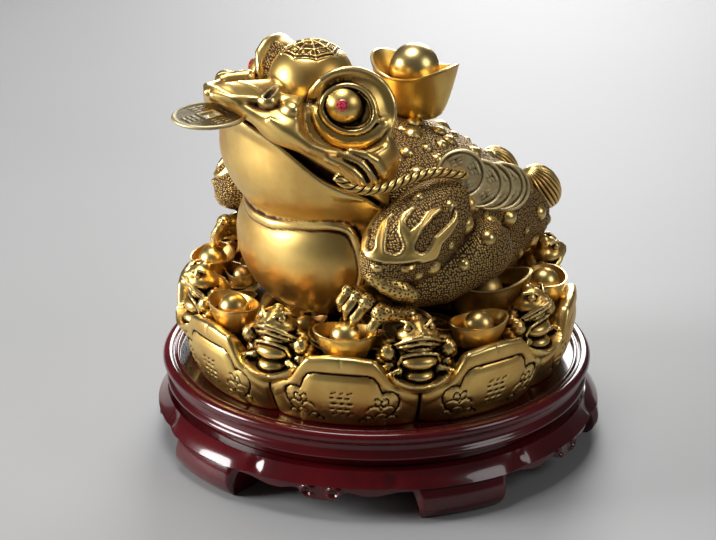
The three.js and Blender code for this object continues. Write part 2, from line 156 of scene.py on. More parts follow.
# Surface nets: a mesh of four-sided faces on the zero level of a field
def nets(grid, low, cell):
    inside = grid < 0
    shape = tuple(n - 1 for n in grid.shape)
    corners = list(np.ndindex(2, 2, 2))
    count = np.zeros(shape, np.int8)
    for i, j, k in corners:
        count += inside[i:shape[0] + i, j:shape[1] + j, k:shape[2] + k]
    at = np.nonzero((count > 0) & (count < 8))
    number = np.full(shape, -1, np.int32)
    number[at] = np.arange(len(at[0]))
    values = np.stack([grid[at[0] + i, at[1] + j, at[2] + k] for i, j, k in corners], 1)
    total = np.zeros((len(at[0]), 3), f32)
    crossings = np.zeros(len(at[0]), f32)
    for a in range(8):
        for b in range(a + 1, 8):
            ca, cb = np.array(corners[a]), np.array(corners[b])
            if np.abs(ca - cb).sum() != 1:
                continue
            crossed = (values[:, a] < 0) != (values[:, b] < 0)
            share = np.where(crossed, values[:, a] / np.where(crossed, values[:, a] - values[:, b], 1), 0)
            total += np.where(crossed[:, None], ca + share[:, None] * (cb - ca), 0)
            crossings += crossed
    points = (np.stack(at, 1) + total / crossings[:, None]) * cell + low
    faces = []
    for axis in range(3):
        u, w = [(1, 2), (2, 0), (0, 1)][axis]
        first = np.take(inside, range(inside.shape[axis] - 1), axis)
        second = np.take(inside, range(1, inside.shape[axis]), axis)
        edge = [e.copy() for e in np.nonzero(first != second)]
        whole = (edge[u] > 0) & (edge[w] > 0) & (edge[u] < shape[u]) & (edge[w] < shape[w])
        edge = [e[whole] for e in edge]
        outward = first[tuple(edge)]
        ring = []
        for du, dw in ((0, 0), (-1, 0), (-1, -1), (0, -1)):
            spot = [e.copy() for e in edge]
            spot[u] += du
            spot[w] += dw
            ring.append(number[tuple(spot)])
        quad = np.stack(ring, 1)
        quad[~outward] = quad[~outward][:, ::-1]
        faces.append(quad)
    return points.astype(f32), np.concatenate(faces)


def gradient(field, points, small=0.2):
    x, y, z = points.T.astype(f32)
    e = f32(small)
    slope = np.stack([field(x + e, y, z) - field(x - e, y, z),
                      field(x, y + e, z) - field(x, y - e, z),
                      field(x, y, z + e) - field(x, y, z - e)], 1)
    return slope / (2 * e)


def sculpt(field, low, high, cell):
    block = 8  # cells along a block; only blocks near the surface are worked out in full
    cell = cell * coarse
    low = np.array(low, f32)
    blocks = np.ceil((np.array(high) - low) / (cell * block)).astype(int)
    centres = [low[i] + (np.arange(blocks[i]) + 0.5) * cell * block for i in range(3)]
    x, y, z = [c.ravel().astype(f32) for c in np.meshgrid(*centres, indexing="ij")]
    rough = field(x, y, z).reshape(blocks)
    grid = np.where(rough < 0, -9, 9).astype(f32)
    for axis in range(3):
        grid = np.repeat(grid, block, axis)
    near = np.stack(np.nonzero(np.abs(rough) < cell * block * 1.45), 1) * block
    step = np.stack(np.meshgrid(*[np.arange(block)] * 3, indexing="ij"), -1).reshape(-1, 3)
    batch = 3000  # blocks worked out at a time
    for i in range(0, len(near), batch):
        at = (near[i:i + batch, None] + step).reshape(-1, 3)
        x, y, z = (low + at * cell).T.astype(f32)
        grid[tuple(at.T)] = field(x, y, z)
    points, faces = nets(grid, low, cell)
    for _ in range(2):  # settle the points onto the surface itself
        x, y, z = points.T
        slope = gradient(field, points)
        pull = field(x, y, z)[:, None] * slope / np.maximum((slope ** 2).sum(1), 0.05)[:, None]
        points = points - np.clip(pull, -0.5 * cell, 0.5 * cell)
    slope = gradient(field, points, 0.4)
    return points, faces, slope / np.maximum(np.linalg.norm(slope, axis=1, keepdims=True), 1e-6)


def sides(normals):  # how far each point faces along x, y and z, the three ways the beads are laid out
    share = np.abs(normals) ** 6
    share /= share.sum(1, keepdims=True)
    return {"sideX": share[:, 0], "sideY": share[:, 1], "sideZ": share[:, 2]}


def openness(field, points, normals):  # 1 in the open, 0 deep in a crease; the brass darkens by it, as painted shade
    total = 0
    for reach, weight in ((1.5, 0.5), (4, 0.5)):
        x, y, z = (points + normals * reach).T.astype(f32)
        total = total + weight * np.clip(field(x, y, z) / reach, 0, 1)
    return total


# Meshes
def neighbours(faces):
    pairs = [np.stack([faces[:, i], faces[:, (i + 1) % faces.shape[1]]], 1) for i in range(faces.shape[1])]
    pairs = np.concatenate(pairs)
    return np.concatenate([pairs, pairs[:, ::-1]])


def average(values, pairs, size):
    count = np.maximum(np.bincount(pairs[:, 0], minlength=size), 1)
    if values.ndim == 1:
        return np.bincount(pairs[:, 0], values[pairs[:, 1]], size) / count
    return np.stack([average(v, pairs, size) for v in values.T], 1)


def faceNormals(points, faces):
    return np.cross(points[faces[:, 2]] - points[faces[:, 0]], points[faces[:, -1]] - points[faces[:, 1]])


def hollows(points, faces):  # how far each point lies below its neighbours, in millimetres
    pairs = neighbours(faces)
    size = len(points)
    normal = np.zeros((size, 3))
    across = faceNormals(points, faces)
    for i in range(faces.shape[1]):
        for axis in range(3):
            normal[:, axis] += np.bincount(faces[:, i], across[:, axis], size)
    normal /= np.maximum(np.linalg.norm(normal, axis=1, keepdims=True), 1e-9)
    depth = ((average(points, pairs, size) - points) * normal).sum(1)
    return 0.5 * depth + 0.5 * average(depth, pairs, size)


def gridFaces(rows, columns, closedRows):  # columns always join round
    i = np.arange(rows if closedRows else rows - 1)[:, None]
    j = np.arange(columns)[None, :]
    i2, j2 = (i + 1) % rows, (j + 1) % columns
    return np.stack([i * columns + j, i * columns + j2, i2 * columns + j2, i2 * columns + j], -1).reshape(-1, 4)


def outwards(points, faces):
    centre = points.mean(0)
    volume = ((points[faces[:, 0]] - centre) * faceNormals(points, faces)).sum()
    return faces if volume > 0 else faces[:, ::-1].copy()


def skin(rings, closedRows=False):  # rings [row, column, xyz]; open ends close on a middle point
    rings = np.array(rings, float)
    rows, columns = rings.shape[:2]
    points = rings.reshape(-1, 3)
    faces = gridFaces(rows, columns, closedRows)
    if not closedRows:
        ends = np.stack([rings[0].mean(0), rings[-1].mean(0)])
        j = np.arange(columns)
        j2 = (j + 1) % columns
        first = np.stack([np.full(columns, len(points)), j2, j], 1)
        last = np.stack([np.full(columns, len(points) + 1), j, j2], 1)
        last[:, 1:] += (rows - 1) * columns
        points = np.concatenate([points, ends])
        caps = np.concatenate([first, last])
        faces = np.concatenate([faces, np.concatenate([caps, caps[:, 2:]], 1)])
    return points, outwards(points, faces)


def merged(parts):  # several (points, faces, attributes) as one
    points, faces, extra, start = [], [], {}, 0
    for p, f, a in parts:
        points.append(p)
        faces.append(f + start)
        start += len(p)
        for key, value in a.items():
            extra.setdefault(key, []).append(np.broadcast_to(value, len(p)))
    return np.concatenate(points), np.concatenate(faces), {k: np.concatenate(v) for k, v in extra.items()}


def mirrored(points, faces, extra):
    other = points * np.array([-1, 1, 1])
    return merged([(points, faces, extra), (other, faces[:, ::-1].copy(), extra)])


def spun(points, degrees):
    c, s = cosSin(degrees)
    x, y, z = points.T
    return np.stack([x * c - y * s, x * s + y * c, z], 1)


def tilted(points, degrees):
    c, s = cosSin(degrees)
    x, y, z = points.T
    return np.stack([x, y * c + z * s, z * c - y * s], 1)


def onRing(radius, turn):  # a place at a distance from the middle, turned from the front
    return radius * np.sin(turn), -radius * np.cos(turn)


def levelRing(radius, turn, z):
    x, y = onRing(radius, turn)
    return np.stack([x, y, np.broadcast_to(z, turn.shape)], 1)


triangleCounts = []


def addPiece(name, points, faces, extra, material, replaced, sharp):
    mesh = bpy.data.meshes.new(name)
    listed = [f[:3] if f[3] == f[2] else f for f in faces.tolist()]
    mesh.from_pydata((np.asarray(points, float) * mm).tolist(), [], listed)
    mesh.update()
    for key, value in {**extra, "hollow": hollows(np.asarray(points, float), faces)}.items():
        layer = mesh.attributes.new(key, "FLOAT", "POINT")
        layer.data.foreach_set("value", np.broadcast_to(value, len(points)).astype(f32))
    mesh.shade_smooth()
    mesh.set_sharp_from_angle(angle=math.radians(sharp))
    piece = bpy.data.objects.new(name, mesh)
    bpy.context.scene.collection.objects.link(piece)
    piece.data.materials.append(material)
    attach(piece, "root")
    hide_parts(replaced)
    triangleCounts.append(sum(len(f) - 2 for f in listed))
    report(f"{name}, {triangleCounts[-1]} triangles")


# Shader maths: a socket that adds, multiplies and so on
class Signal:
    def __init__(self, shader, socket):
        self.shader, self.socket = shader, socket

    def maths(self, operation, *values):
        return self.shader.add("ShaderNodeMath", {"operation": operation}, dict(enumerate(values)))

    def __add__(self, other):
        return self.maths("ADD", self, other)

    def __radd__(self, other):
        return self.maths("ADD", other, self)

    def __sub__(self, other):
        return self.maths("SUBTRACT", self, other)

    def __rsub__(self, other):
        return self.maths("SUBTRACT", other, self)

    def __mul__(self, other):
        return self.maths("MULTIPLY", self, other)

    def __rmul__(self, other):
        return self.maths("MULTIPLY", other, self)

    def ramp(self, low, high):  # 0 at low, 1 at high
        return self.shader.add("ShaderNodeMapRange", {"interpolation_type": "SMOOTHSTEP"},
                               {"Value": self, "From Min": low, "From Max": high})


class Shader:
    def __init__(self, name):
        self.material = bpy.data.materials.new(name)
        self.material.use_nodes = True
        self.tree = self.material.node_tree
        self.surface = self.tree.nodes["Principled BSDF"]

    def add(self, kind, settings={}, sockets={}, output=0):
        node = self.tree.nodes.new(kind)
        for key, value in settings.items():
            setattr(node, key, value)
        for key, value in sockets.items():
            self.feed(node.inputs[key], value)
        return Signal(self, node.outputs[output])

    def feed(self, socket, value):
        if isinstance(value, Signal):
            self.tree.links.new(value.socket, socket)
        elif isinstance(value, tuple) and len(value) == 3 and len(socket.default_value) == 4:
            socket.default_value = (*value, 1)
        else:
            socket.default_value = value

    def mix(self, share, first, second):
        return self.add("ShaderNodeMix", {"data_type": "RGBA"}, {0: share, 6: first, 7: second}, 2)

    def attribute(self, name):
        return self.add("ShaderNodeAttribute", {"attribute_name": name}, {}, 2)

    def place(self):
        return self.add("ShaderNodeTexCoord", {}, {}, 3)

    def parts(self, vector):
        node = self.add("ShaderNodeSeparateXYZ", {}, {"Vector": vector}).socket.node
        return [Signal(self, socket) for socket in node.outputs]

    def beadSpots(self, first, second, pitch):  # distance from the middle of a bead, in beads
        flat = self.add("ShaderNodeCombineXYZ", {}, {"X": first, "Y": second})
        settings = {"voronoi_dimensions": "2D", "feature": "F1"}
        return self.add("ShaderNodeTexVoronoi", settings, {"Vector": flat, "Scale": 1000 / pitch, "Randomness": 0.62})

    def noise(self, scale, detail=3, roughness=0.55):
        sockets = {"Vector": self.place(), "Scale": scale, "Detail": detail, "Roughness": roughness}
        return self.add("ShaderNodeTexNoise", {}, sockets)

    def bump(self, height, distance, strength=1.0):
        return self.add("ShaderNodeBump", {}, {"Height": height, "Distance": distance, "Strength": strength})

    def finish(self, **sockets):
        for key, value in sockets.items():
            self.feed(self.surface.inputs[key.replace("_", " ").title()], value)
        return self.material


brassLook = {
    "bright": (0.90, 0.63, 0.20),
    "warm": (0.74, 0.43, 0.115),
    "polished": (0.98, 0.79, 0.36),  # on raised edges
    # brown and dark tint the patina, and also paint shade into creases and hollows
    "brown": (0.21, 0.098, 0.030),
    "dark": (0.028, 0.016, 0.011),
    "violet": (0.062, 0.042, 0.038),
    "pitPitch": 1.9,
    "beadPitch": 1.15,  # millimetres
    "roughness": 0.31,
}


def brass(name, shadeAndPatina=0.0, beaded=True):
    s = Shader(name)
    cloudy = s.noise(40, 4)
    streak = s.add("ShaderNodeVectorMath", {"operation": "MULTIPLY"}, {0: s.place(), 1: (70, 70, 1300)})
    brushed = s.add("ShaderNodeTexNoise", {}, {"Vector": streak, "Scale": 1, "Detail": 3})
    colour = s.mix(cloudy.ramp(0.35, 0.7), brassLook["bright"], brassLook["warm"])
    hollow = s.attribute("hollow")
    # painted shade: creases (low open) and hollows turn the brass brown, then dark, over patchy tarnish from the aged
    # noise
    crease = (1 - s.attribute("open")).ramp(0.22, 0.88)
    aged = s.noise(240, 3)
    dirtAndPaintedShade = crease + hollow.ramp(0.015, 0.13) * 0.7 + (aged - 0.5) * 0.3 + shadeAndPatina
    colour = s.mix(dirtAndPaintedShade.ramp(0.04, 0.55), colour, brassLook["brown"])
    colour = s.mix(dirtAndPaintedShade.ramp(0.45, 1.1), colour, brassLook["dark"])
    raised = hollow.ramp(-0.015, -0.10)
    colour = s.mix(raised * 0.6, colour, brassLook["polished"])
    rough = brassLook["roughness"] + cloudy * 0.10 + dirtAndPaintedShade * 0.22 - raised * 0.06
    height = brushed * 0.025
    if beaded:
        beads = s.attribute("beads")
        x, y, z = s.parts(s.place())
        ways = (("sideX", y, z), ("sideY", z, x), ("sideZ", x, y))
        spot, hole = [
            sum(s.attribute(side) * s.beadSpots(u, v, brassLook[pitch]) for side, u, v in ways)
            for pitch in ("beadPitch", "pitPitch")
        ]
        net = spot.ramp(0.25, 0.47) * beads + hole.ramp(0.34, 0.22) * s.attribute("pits")
        colour = s.mix(beads * 0.38, colour, brassLook["brown"])
        colour = s.mix(net * 0.92, colour, brassLook["violet"])
        rough = rough + net * 0.25 + beads * 0.06
        height = height - spot.ramp(0.05, 0.55) * beads * 0.28
        height = height - hole.ramp(0.38, 0.18) * s.attribute("pits") * 0.14
    normal = s.bump(height, 0.001)
    return s.finish(base_color=colour, metallic=1.0, roughness=rough, normal=normal)


def lacquer():
    s = Shader("redLacquer")
    grain = s.noise(18, 4, 0.6)
    colour = s.mix(grain.ramp(0.3, 0.75), (0.052, 0.0012, 0.0032), (0.120, 0.0040, 0.0070))
    # painted shade: hollows in the lacquer turn nearly black
    wearAndShade = s.attribute("hollow").ramp(0.02, 0.2)
    colour = s.mix(wearAndShade, colour, (0.010, 0.0006, 0.001))
    normal = s.bump(s.noise(70, 2), 0.0004, 0.3)
    s.surface.inputs["Specular IOR Level"].default_value = 0.35
    s.surface.inputs["Coat Weight"].default_value = 0.55
    s.surface.inputs["Coat Roughness"].default_value = 0.03
    return s.finish(base_color=colour, roughness=0.15 + grain * 0.10, normal=normal)


def oldCoin(name, tint):
    s = Shader(name)
    cloudy = s.noise(240, 4)
    hollow = s.attribute("hollow")
    light, deep = [tuple(tint * v for v in colour) for colour in ((0.76, 0.62, 0.34), (0.52, 0.40, 0.20))]
    wearAndShade = s.mix(cloudy.ramp(0.3, 0.7), light, deep)
    # painted shade: hollows of the coins turn dark brown
    colour = s.mix(hollow.ramp(0.004, 0.05), wearAndShade, (0.035, 0.024, 0.016))
    colour = s.mix(hollow.ramp(-0.01, -0.06) * 0.6, colour, (0.85, 0.72, 0.42))
    normal = s.bump(s.noise(1500, 2), 0.0002, 0.6)
    return s.finish(base_color=colour, metallic=1.0, roughness=0.42 + cloudy * 0.14, normal=normal)


def ruby():
    s = Shader("redStone")
    # painted sparkle: small patches of brighter red stand in for glints inside the stone
    paintedSparkle = s.add("ShaderNodeTexVoronoi", {"feature": "F1"}, {"Vector": s.place(), "Scale": 900}, 0)
    colour = s.mix(paintedSparkle.ramp(0.1, 0.6), (0.90, 0.16, 0.20), (0.42, 0.004, 0.016))
    s.surface.inputs["IOR"].default_value = 1.76
    # painted light: the stone glows a little in its own colour, though it is no lamp
    s.surface.inputs["Emission Strength"].default_value = 0.12
    return s.finish(base_color=colour, roughness=0.04, emission_color=colour)


def paleFloor():
    s = Shader("paleFloor")
    cloudy = s.noise(3, 3)
    colour = s.mix(cloudy, (0.36, 0.36, 0.36), (0.40, 0.40, 0.40))
    return s.finish(base_color=colour, roughness=0.6)


brassMaterial = brass("castBrass")
smoothBrass = brass("smoothBrass", beaded=False)
# darker all over, patina and painted shade, for the mound and the treasure on it
agedShadedBrass = brass("agedShadedBrass", shadeAndPatina=0.30, beaded=False)
coinMaterial = oldCoin("agedCoin", 1.28)
darkCoin = oldCoin("darkCoin", 0.28)
lacquerMaterial = lacquer()
rubyMaterial = ruby()
report("materials")


def addCast(name, points, faces, extra, material=smoothBrass, sharp=60):  # a piece of the casting
    addPiece(name, points, faces, extra, material, "toad_casting", sharp)



# Camera, from the photograph's angle
view = {
    "azimuth": 55.4, "elevation": 21.9, "distance": 1.2, "lens": 121.6,
    "target": (-0.00528, -0.00766, 0.0829),
}
azimuth, elevation = math.radians(view["azimuth"]), math.radians(view["elevation"])
level = math.cos(elevation)
backward = np.array([math.sin(azimuth) * level, -math.cos(azimuth) * level, math.sin(elevation)])
rightward = np.array([math.cos(azimuth), math.sin(azimuth), 0.0])
upward = np.cross(backward, rightward)


def facing(position, target):
    direction = unit(np.array(target) - np.array(position))
    side = unit(np.cross(direction, (0, 0, 1)))
    top = np.cross(side, direction)
    return mathutils.Matrix(np.stack([side, top, -direction], 1).tolist()).to_euler()


def addCamera():
    camera = bpy.data.objects.new("camera", bpy.data.cameras.new("camera"))
    camera.data.lens = view["lens"]
    camera.data.sensor_width = 36
    camera.data.clip_start = 0.05
    camera.location = np.array(view["target"]) + backward * view["distance"]
    camera.rotation_euler = facing(camera.location, view["target"])
    bpy.context.scene.collection.objects.link(camera)
    bpy.context.scene.camera = camera


studio = {
    "world": (0.20, 0.20, 0.205), "worldStrength": 0.32, "exposure": 0.0,
    # place in the camera's right, up and back directions, size, power in watts
    "lights": [
        ("sideBox", (-1.00, 0.24, 0.24), 0.50, 11),
        ("topBox", (-0.15, 1.00, 0.30), 0.55, 7),
        ("backBox", (0.15, 0.75, -0.85), 0.60, 8),
        ("fillBox", (0.95, 0.45, 0.65), 0.60, 2.5),
    ],
}


def addStudio():
    world = bpy.data.worlds.new("studio")
    world.use_nodes = True
    background = world.node_tree.nodes["Background"].inputs
    background["Color"].default_value = (*studio["world"], 1)
    background["Strength"].default_value = studio["worldStrength"]
    bpy.context.scene.world = world
    bpy.context.scene.view_settings.view_transform = "Standard"
    bpy.context.scene.view_settings.exposure = studio["exposure"]
    middle = np.array([0, 0, 0.10])
    for name, (right, up, back), size, power in studio["lights"]:
        lamp = bpy.data.lights.new(name, "AREA")
        lamp.shape = "DISK"
        lamp.size = size
        lamp.energy = power
        light = bpy.data.objects.new(name, lamp)
        light.location = middle + rightward * right + upward * up + backward * back
        light.rotation_euler = facing(light.location, middle)
        bpy.context.scene.collection.objects.link(light)
    mesh = bpy.data.meshes.new("floor")
    reach = 6
    corners = [(x * reach, y * reach, 0) for x, y in ((-1, -1), (1, -1), (1, 1), (-1, 1))]
    mesh.from_pydata(corners, [], [(0, 1, 2, 3)])
    floor = bpy.data.objects.new("floor", mesh)
    mesh.materials.append(paleFloor())
    bpy.context.scene.collection.objects.link(floor)


addCamera()
addStudio()
report("camera and studio")

# Head
head = {
    "cell": 0.85,
    "eye": (34.8, -42.9, 185.2),
    "eyeOut": (0.74, -0.60, 0.30),
    "ball": (-0.6, 0.6, -3.0, 9.4),  # rearwards, upwards and outwards from the eye's middle, and the radius
    "upperLid": (1.5, -2.8, 13.8), "lowerLid": (3.5, 3.5, 16.2),  # circles that bound the lids
    "hood": (2.8, -3.0, 20.7),
    "hoodEdge": [(-180, -3), (-60, -3), (0, -3.5), (45, -4), (67, -2.6), (90, -0.4), (112, 1.8), (133, 2), (149, -0.8),
                 (162, -3.5), (180, -3.5)],  # angle round the hood, and how far out
    "mouthHalfWidth": 57.5, "mouthMiddle": -38,
    "snoutReach": 55.5, "snoutPower": 1.38,
    "jawReach": 43.5, "jawPower": 1.5,
    "crown": (0, -38, 187), "crownRadii": (20.5, 21, 20.6), "webRadius": 20.8,
    "lipRidge": [(28.4, -79.4, 184.2), (33.5, -75.9, 180.4), (38.4, -71.2, 176.5), (42.5, -67, 172.6),
                 (45.2, -61.6, 170), (46.8, -55.6, 168.3), (51, -50.9, 166.5), (54.1, -47, 164), (55.7, -44.3, 160.3),
                 (56.5, -42.7, 157.1), (56.7, -41.3, 154)],
    "lipRidgeRadii": [0.6, 1.7, 2.4, 2.8, 2.8, 2.6, 2.3, 2.1, 2.0, 1.9, 1.7],
    "foldRadii": [1.6, 2.2, 2.4, 2.3, 1.9],
    "folds": [
        [(47.7, -60.4, 167), (50.9, -55.2, 164.2), (53.9, -51.6, 161.2), (55.7, -49, 158), (56.8, -47.4, 154.5)],
        [(49.8, -50, 169), (54, -44, 167.2), (56, -40.3, 164.3), (56.8, -37.4, 159), (56.2, -35.1, 154.5)],
    ],
    "grooves": [
        [(50.4, -54, 165.3), (53.3, -49.5, 163.2), (55.7, -46.6, 159.4), (57, -45.2, 155.7)],
        [(47.3, -52.7, 168.6), (50.9, -49.3, 167.9), (54.5, -44.3, 165.1), (56, -41.8, 160.4), (56.4, -39.6, 155.6)],
    ],
    "snoutRidge": [(2.5, -94, 191.4), (11.5, -88.6, 191.3), (14.4, -82, 190.8), (17, -77.5, 190.4)],
    "nostril": [(19.5, -74.5, 189.4), (12.8, -65.5, 191)],
    "pit": [(20.6, -75.8, 192.6), (15.0, -67.3, 195.4)],
    "skull": [  # width of the melt, shape and sizes
        (8, oval, (0, -36, 168), (46, 26.5, 17.5)),
        (8, oval, (46, -36, 160), (10, 15, 15)),
        (6, oval, (0, -15, 155), (30, 14, 15)),
        (6, bar, (0, -84, 188), (0, -53, 181), 5, 10.5),
    ],
    "snout": [
        (2.5, bar, (20, -67, 188.5), (27, -58, 187), 3.2, 3.2),
        (6, oval, (24, -66, 178.5), (14, 13, 9)),
        (2, oval, (28.4, -67.4, 187), (6.3, 5, 3.8)),
    ],
    "netRings": (4.6, 9.0, 13.2, 15.4), "netBars": (10.3, 11.1, 11.9),
}
eighth = math.pi / 4
slant = 0.777  # turns a height over the sloping mouth into a distance
eyeOut = unit(head["eyeOut"])
eyeUp = unit(np.array([0, 0, 1]) - eyeOut * eyeOut[2])
eyeRear = np.cross(eyeUp, eyeOut)


def fromEye(x, y, z):
    px, py, pz = local(x, y, z, head["eye"])
    return [px * f32(d[0]) + py * f32(d[1]) + pz * f32(d[2]) for d in (eyeRear, eyeUp, eyeOut)]


def mouthHeight(y):
    return 192 - 0.81 * (y + 95)


def jawHeight(y):
    return mouthHeight(y) - 2.8 - 7 * np.exp(-((y + 59.5) / 13) ** 2)


def mouthPlan(x, y, reach, power):  # 1 along the mouth's outline, seen from above
    ahead = np.abs(np.minimum(y - head["mouthMiddle"], 0)) / reach
    return ((x / head["mouthHalfWidth"]) ** power + ahead ** power) ** (1 / power)


def circleAway(rear, up, circle):
    return np.hypot(rear - circle[0], up - circle[1]) - circle[2]


def swell(distance, reach):  # a fuller bump than rise
    return np.clip(1 - np.abs(distance / reach) ** 2.4, 0, 1)


def lidAway(rear, up):
    return trim(circleAway(rear, up, head["upperLid"]), circleAway(rear, up, head["lowerLid"]), 2.5)


def hoodAngle(rear, up):
    return np.arctan2(up - head["hood"][1], rear - head["hood"][0])


def hoodEdge(rear, up):  # how far the hood's edge stands out: most over the front of the eye
    return np.interp(np.degrees(hoodAngle(rear, up)), *np.array(head["hoodEdge"]).T).astype(f32)


def eyeGround(rear, up):  # how far out the skin round the eye lies: a hollow under the hood, two pouches below
    share = np.clip((circleAway(rear, up, head["hood"]) + 8) / 7.2, 0, 1)
    slope = 0.2 + (hoodEdge(rear, up) + 0.6) * share ** 1.3 - 0.7 * np.sin(math.pi * share)
    below = circleAway(rear, up, head["lowerLid"])
    turn = np.arctan2(rear - head["lowerLid"][0], head["lowerLid"][1] - up)
    full = np.cos(np.clip(turn * 0.85, -1.5, 1.5))
    pouches = 2.3 * full ** 0.5 * swell(below - 3.4 * full, 3.7 * full + 0.2)
    pouches += 0.9 * full * rise(below - 2.6 - 6.3 * full, 2.2) - 0.1 * np.maximum(below, 0)
    low = ease(-(up + 0.12 * rear), -1, 8).astype(f32)
    return slope + (pouches - slope) * low


def eyeField(rear, up, out):
    hoodAway = circleAway(rear, up, head["hood"])
    back = np.clip(-(out + 4) / 17, 0, 0.999)
    d = (hoodAway + head["hood"][2] * (1 - np.sqrt(1 - back * back))) * 0.85
    d = trim(d, (out - eyeGround(rear, up)) * 0.8, 1.6)
    thick = np.clip(np.sin(hoodAngle(rear, up) + 0.05) * 1.6 + 0.45, 0, 1).astype(f32)
    edge = np.sqrt((hoodAway + 1) ** 2 + (out - hoodEdge(rear, up)) ** 2) - 1.5 * thick
    d = melt(d, np.where(thick > 0, edge, 9), 2.4)
    lid = lidAway(rear, up)
    rim = np.sqrt((lid + 1.15) ** 2 + (out - 1.3) ** 2) - np.where(up < -2, f32(1.6), f32(1.35))
    d = melt(d, rim, 1.1)
    d = melt(d, bar(rear, up, out, (12.5, -5.2, 0.6), (18.6, -6.4, 0.4), 1.1, 0.5), 1.5)
    d = trim(d, -trim(lid + 2.3, -3.6 - out, 0.5), 0.5)
    inner = np.sqrt((lid + 2.9) ** 2 + (out - 0.2) ** 2) - 0.75
    d = melt(d, inner, 0.4)
    *centre, radius = head["ball"]
    return np.minimum(d, oval(rear, up, out, centre, (radius,) * 3))


def sunk(path, radii):  # a ridge's middle line, half its radius under the skin
    return [np.array(p) - 0.5 * r * np.array((0.76, -0.53, 0.37)) for p, r in zip(path, radii)]


def headField(x, y, z):
    x = np.abs(x)
    plan = mouthPlan(x, y, head["snoutReach"], head["snoutPower"])
    front = (1 - ease(x, 6, 30)).astype(f32)
    top = mouthHeight(y) + 3 - front + 34 * np.maximum(1 - plan, 0) ** 0.8
    d = trim((z - top) * 0.62, (plan - 1) * 42, 4)
    d = trim(d, y + 30, 6)
    d = joined(x, y, z, head["skull"], d)
    d = trim(d, (mouthHeight(y) - z) * slant - 1, 3)
    lip = np.sqrt(((plan - 0.955) * 44) ** 2 + ((z - mouthHeight(y) - 1.5 - front) * slant) ** 2)
    lip = np.sqrt(lip ** 2 + np.maximum(y + 46, 0) ** 2) - 2.3 + 0.8 * front
    d = melt(d, lip, 3)
    d = melt(d, oval(x, y, z, head["crown"], head["crownRadii"]), 2.5)
    d = joined(x, y, z, head["snout"], d)
    d = melt(d, chain(x, y, z, head["snoutRidge"], [1.2, 1.2, 1.2, 1.4]), 3)
    rear, up, out = fromEye(x, y, z)
    below = circleAway(rear, up, head["lowerLid"]) - 8.2
    lift = out - eyeGround(rear, up)
    clear = trim(circleAway(rear, up, head["hood"]) + 0.3, below, 1) - 0.6 * np.clip(lift, 0, 3)
    clear = trim(clear, -lift, 1)
    d = trim(d, -clear, 2.5)
    d = melt(d, eyeField(rear, up, out), 1.5)
    d = melt(d, chain(x, y, z, sunk(head["lipRidge"], head["lipRidgeRadii"]), head["lipRidgeRadii"]), 2.2)
    for fold in head["folds"]:
        d = melt(d, chain(x, y, z, sunk(fold, head["foldRadii"]), head["foldRadii"]), 1.4)
    low, high = head["nostril"]
    d = melt(d, bar(x, y, z, low, high, 4.3, 3.7), 2)
    return trim(d, -bar(x, y, z, *head["pit"], 1.7, 1.4), 0.8)


def polygonAway(away, near):  # the same all along each side of an eight-sided ring
    return away * np.cos(np.abs(near) - eighth / 2) / math.cos(eighth / 2)


def netPolygon(x, y):  # distance from the crown's top, over its skin
    angle = np.arctan2(x, head["crown"][1] - y) + eighth / 2
    near = angle - np.round(angle / eighth) * eighth
    share = np.clip(np.hypot(x, y - head["crown"][1]) / head["crownRadii"][2], 0, 1)
    return polygonAway(np.arcsin(share) * head["webRadius"], near)


def headPiece():
    points, faces, normals = sculpt(headField, (-63, -98, 138), (63, 1, 210.5), head["cell"])
    x, y, z = np.abs(points[:, 0]), points[:, 1], points[:, 2]
    groove = np.minimum.reduce([chain(x, y, z, path, [0] * len(path)) for path in head["grooves"]])
    pit = bar(x, y, z, *head["pit"], 1.8, 1.5)
    rear, up, out = [v.astype(float) for v in fromEye(x.astype(f32), y.astype(f32), z.astype(f32))]
    underHood = circleAway(rear, up, head["hood"])
    front = ease(-rear, 1, 4) * ease(up, -2, 2)
    band = ease(-out, 1.0, 1.8) * ease(out, -8.5, -7) * ease(underHood, -4, -3) * front * ease(-underHood, -1, 0)
    height = -0.9 * rise(groove, 1.7) - 0.25 * band
    height -= 1.0 * ease(-netPolygon(x, y), -16.2, -15.7) * (z > 195)  # room for the web
    height += 0.35 * rise(out + 1.4, 0.8) * front * (underHood > -3)
    shade = openness(headField, points, normals) - 0.35 * rise(groove, 1.9) - 0.35 * rise(pit, 1.6)
    hollow = ease(-underHood, -0.5, 1) * ease(lidAway(rear, up), 0.3, 1.2) * ease(out, -9, -7)
    shade = shade + np.maximum(0.7 - shade, 0) * hollow
    shade = shade + np.maximum(0.5 - shade, 0) * ease(-y, 60, 64) * (z > mouthHeight(y) + 4) * (1 - rise(pit, 1.6))
    plan = mouthPlan(x, y, head["snoutReach"], head["snoutPower"])
    shade = shade * (1 - 0.55 * (z < mouthHeight(y) + 2) * ease(-plan, -0.93, -0.89))
    points = points + normals * height[:, None]
    addCast("toad_head", points, faces, {"open": shade, "beads": band, **sides(normals)}, brassMaterial)


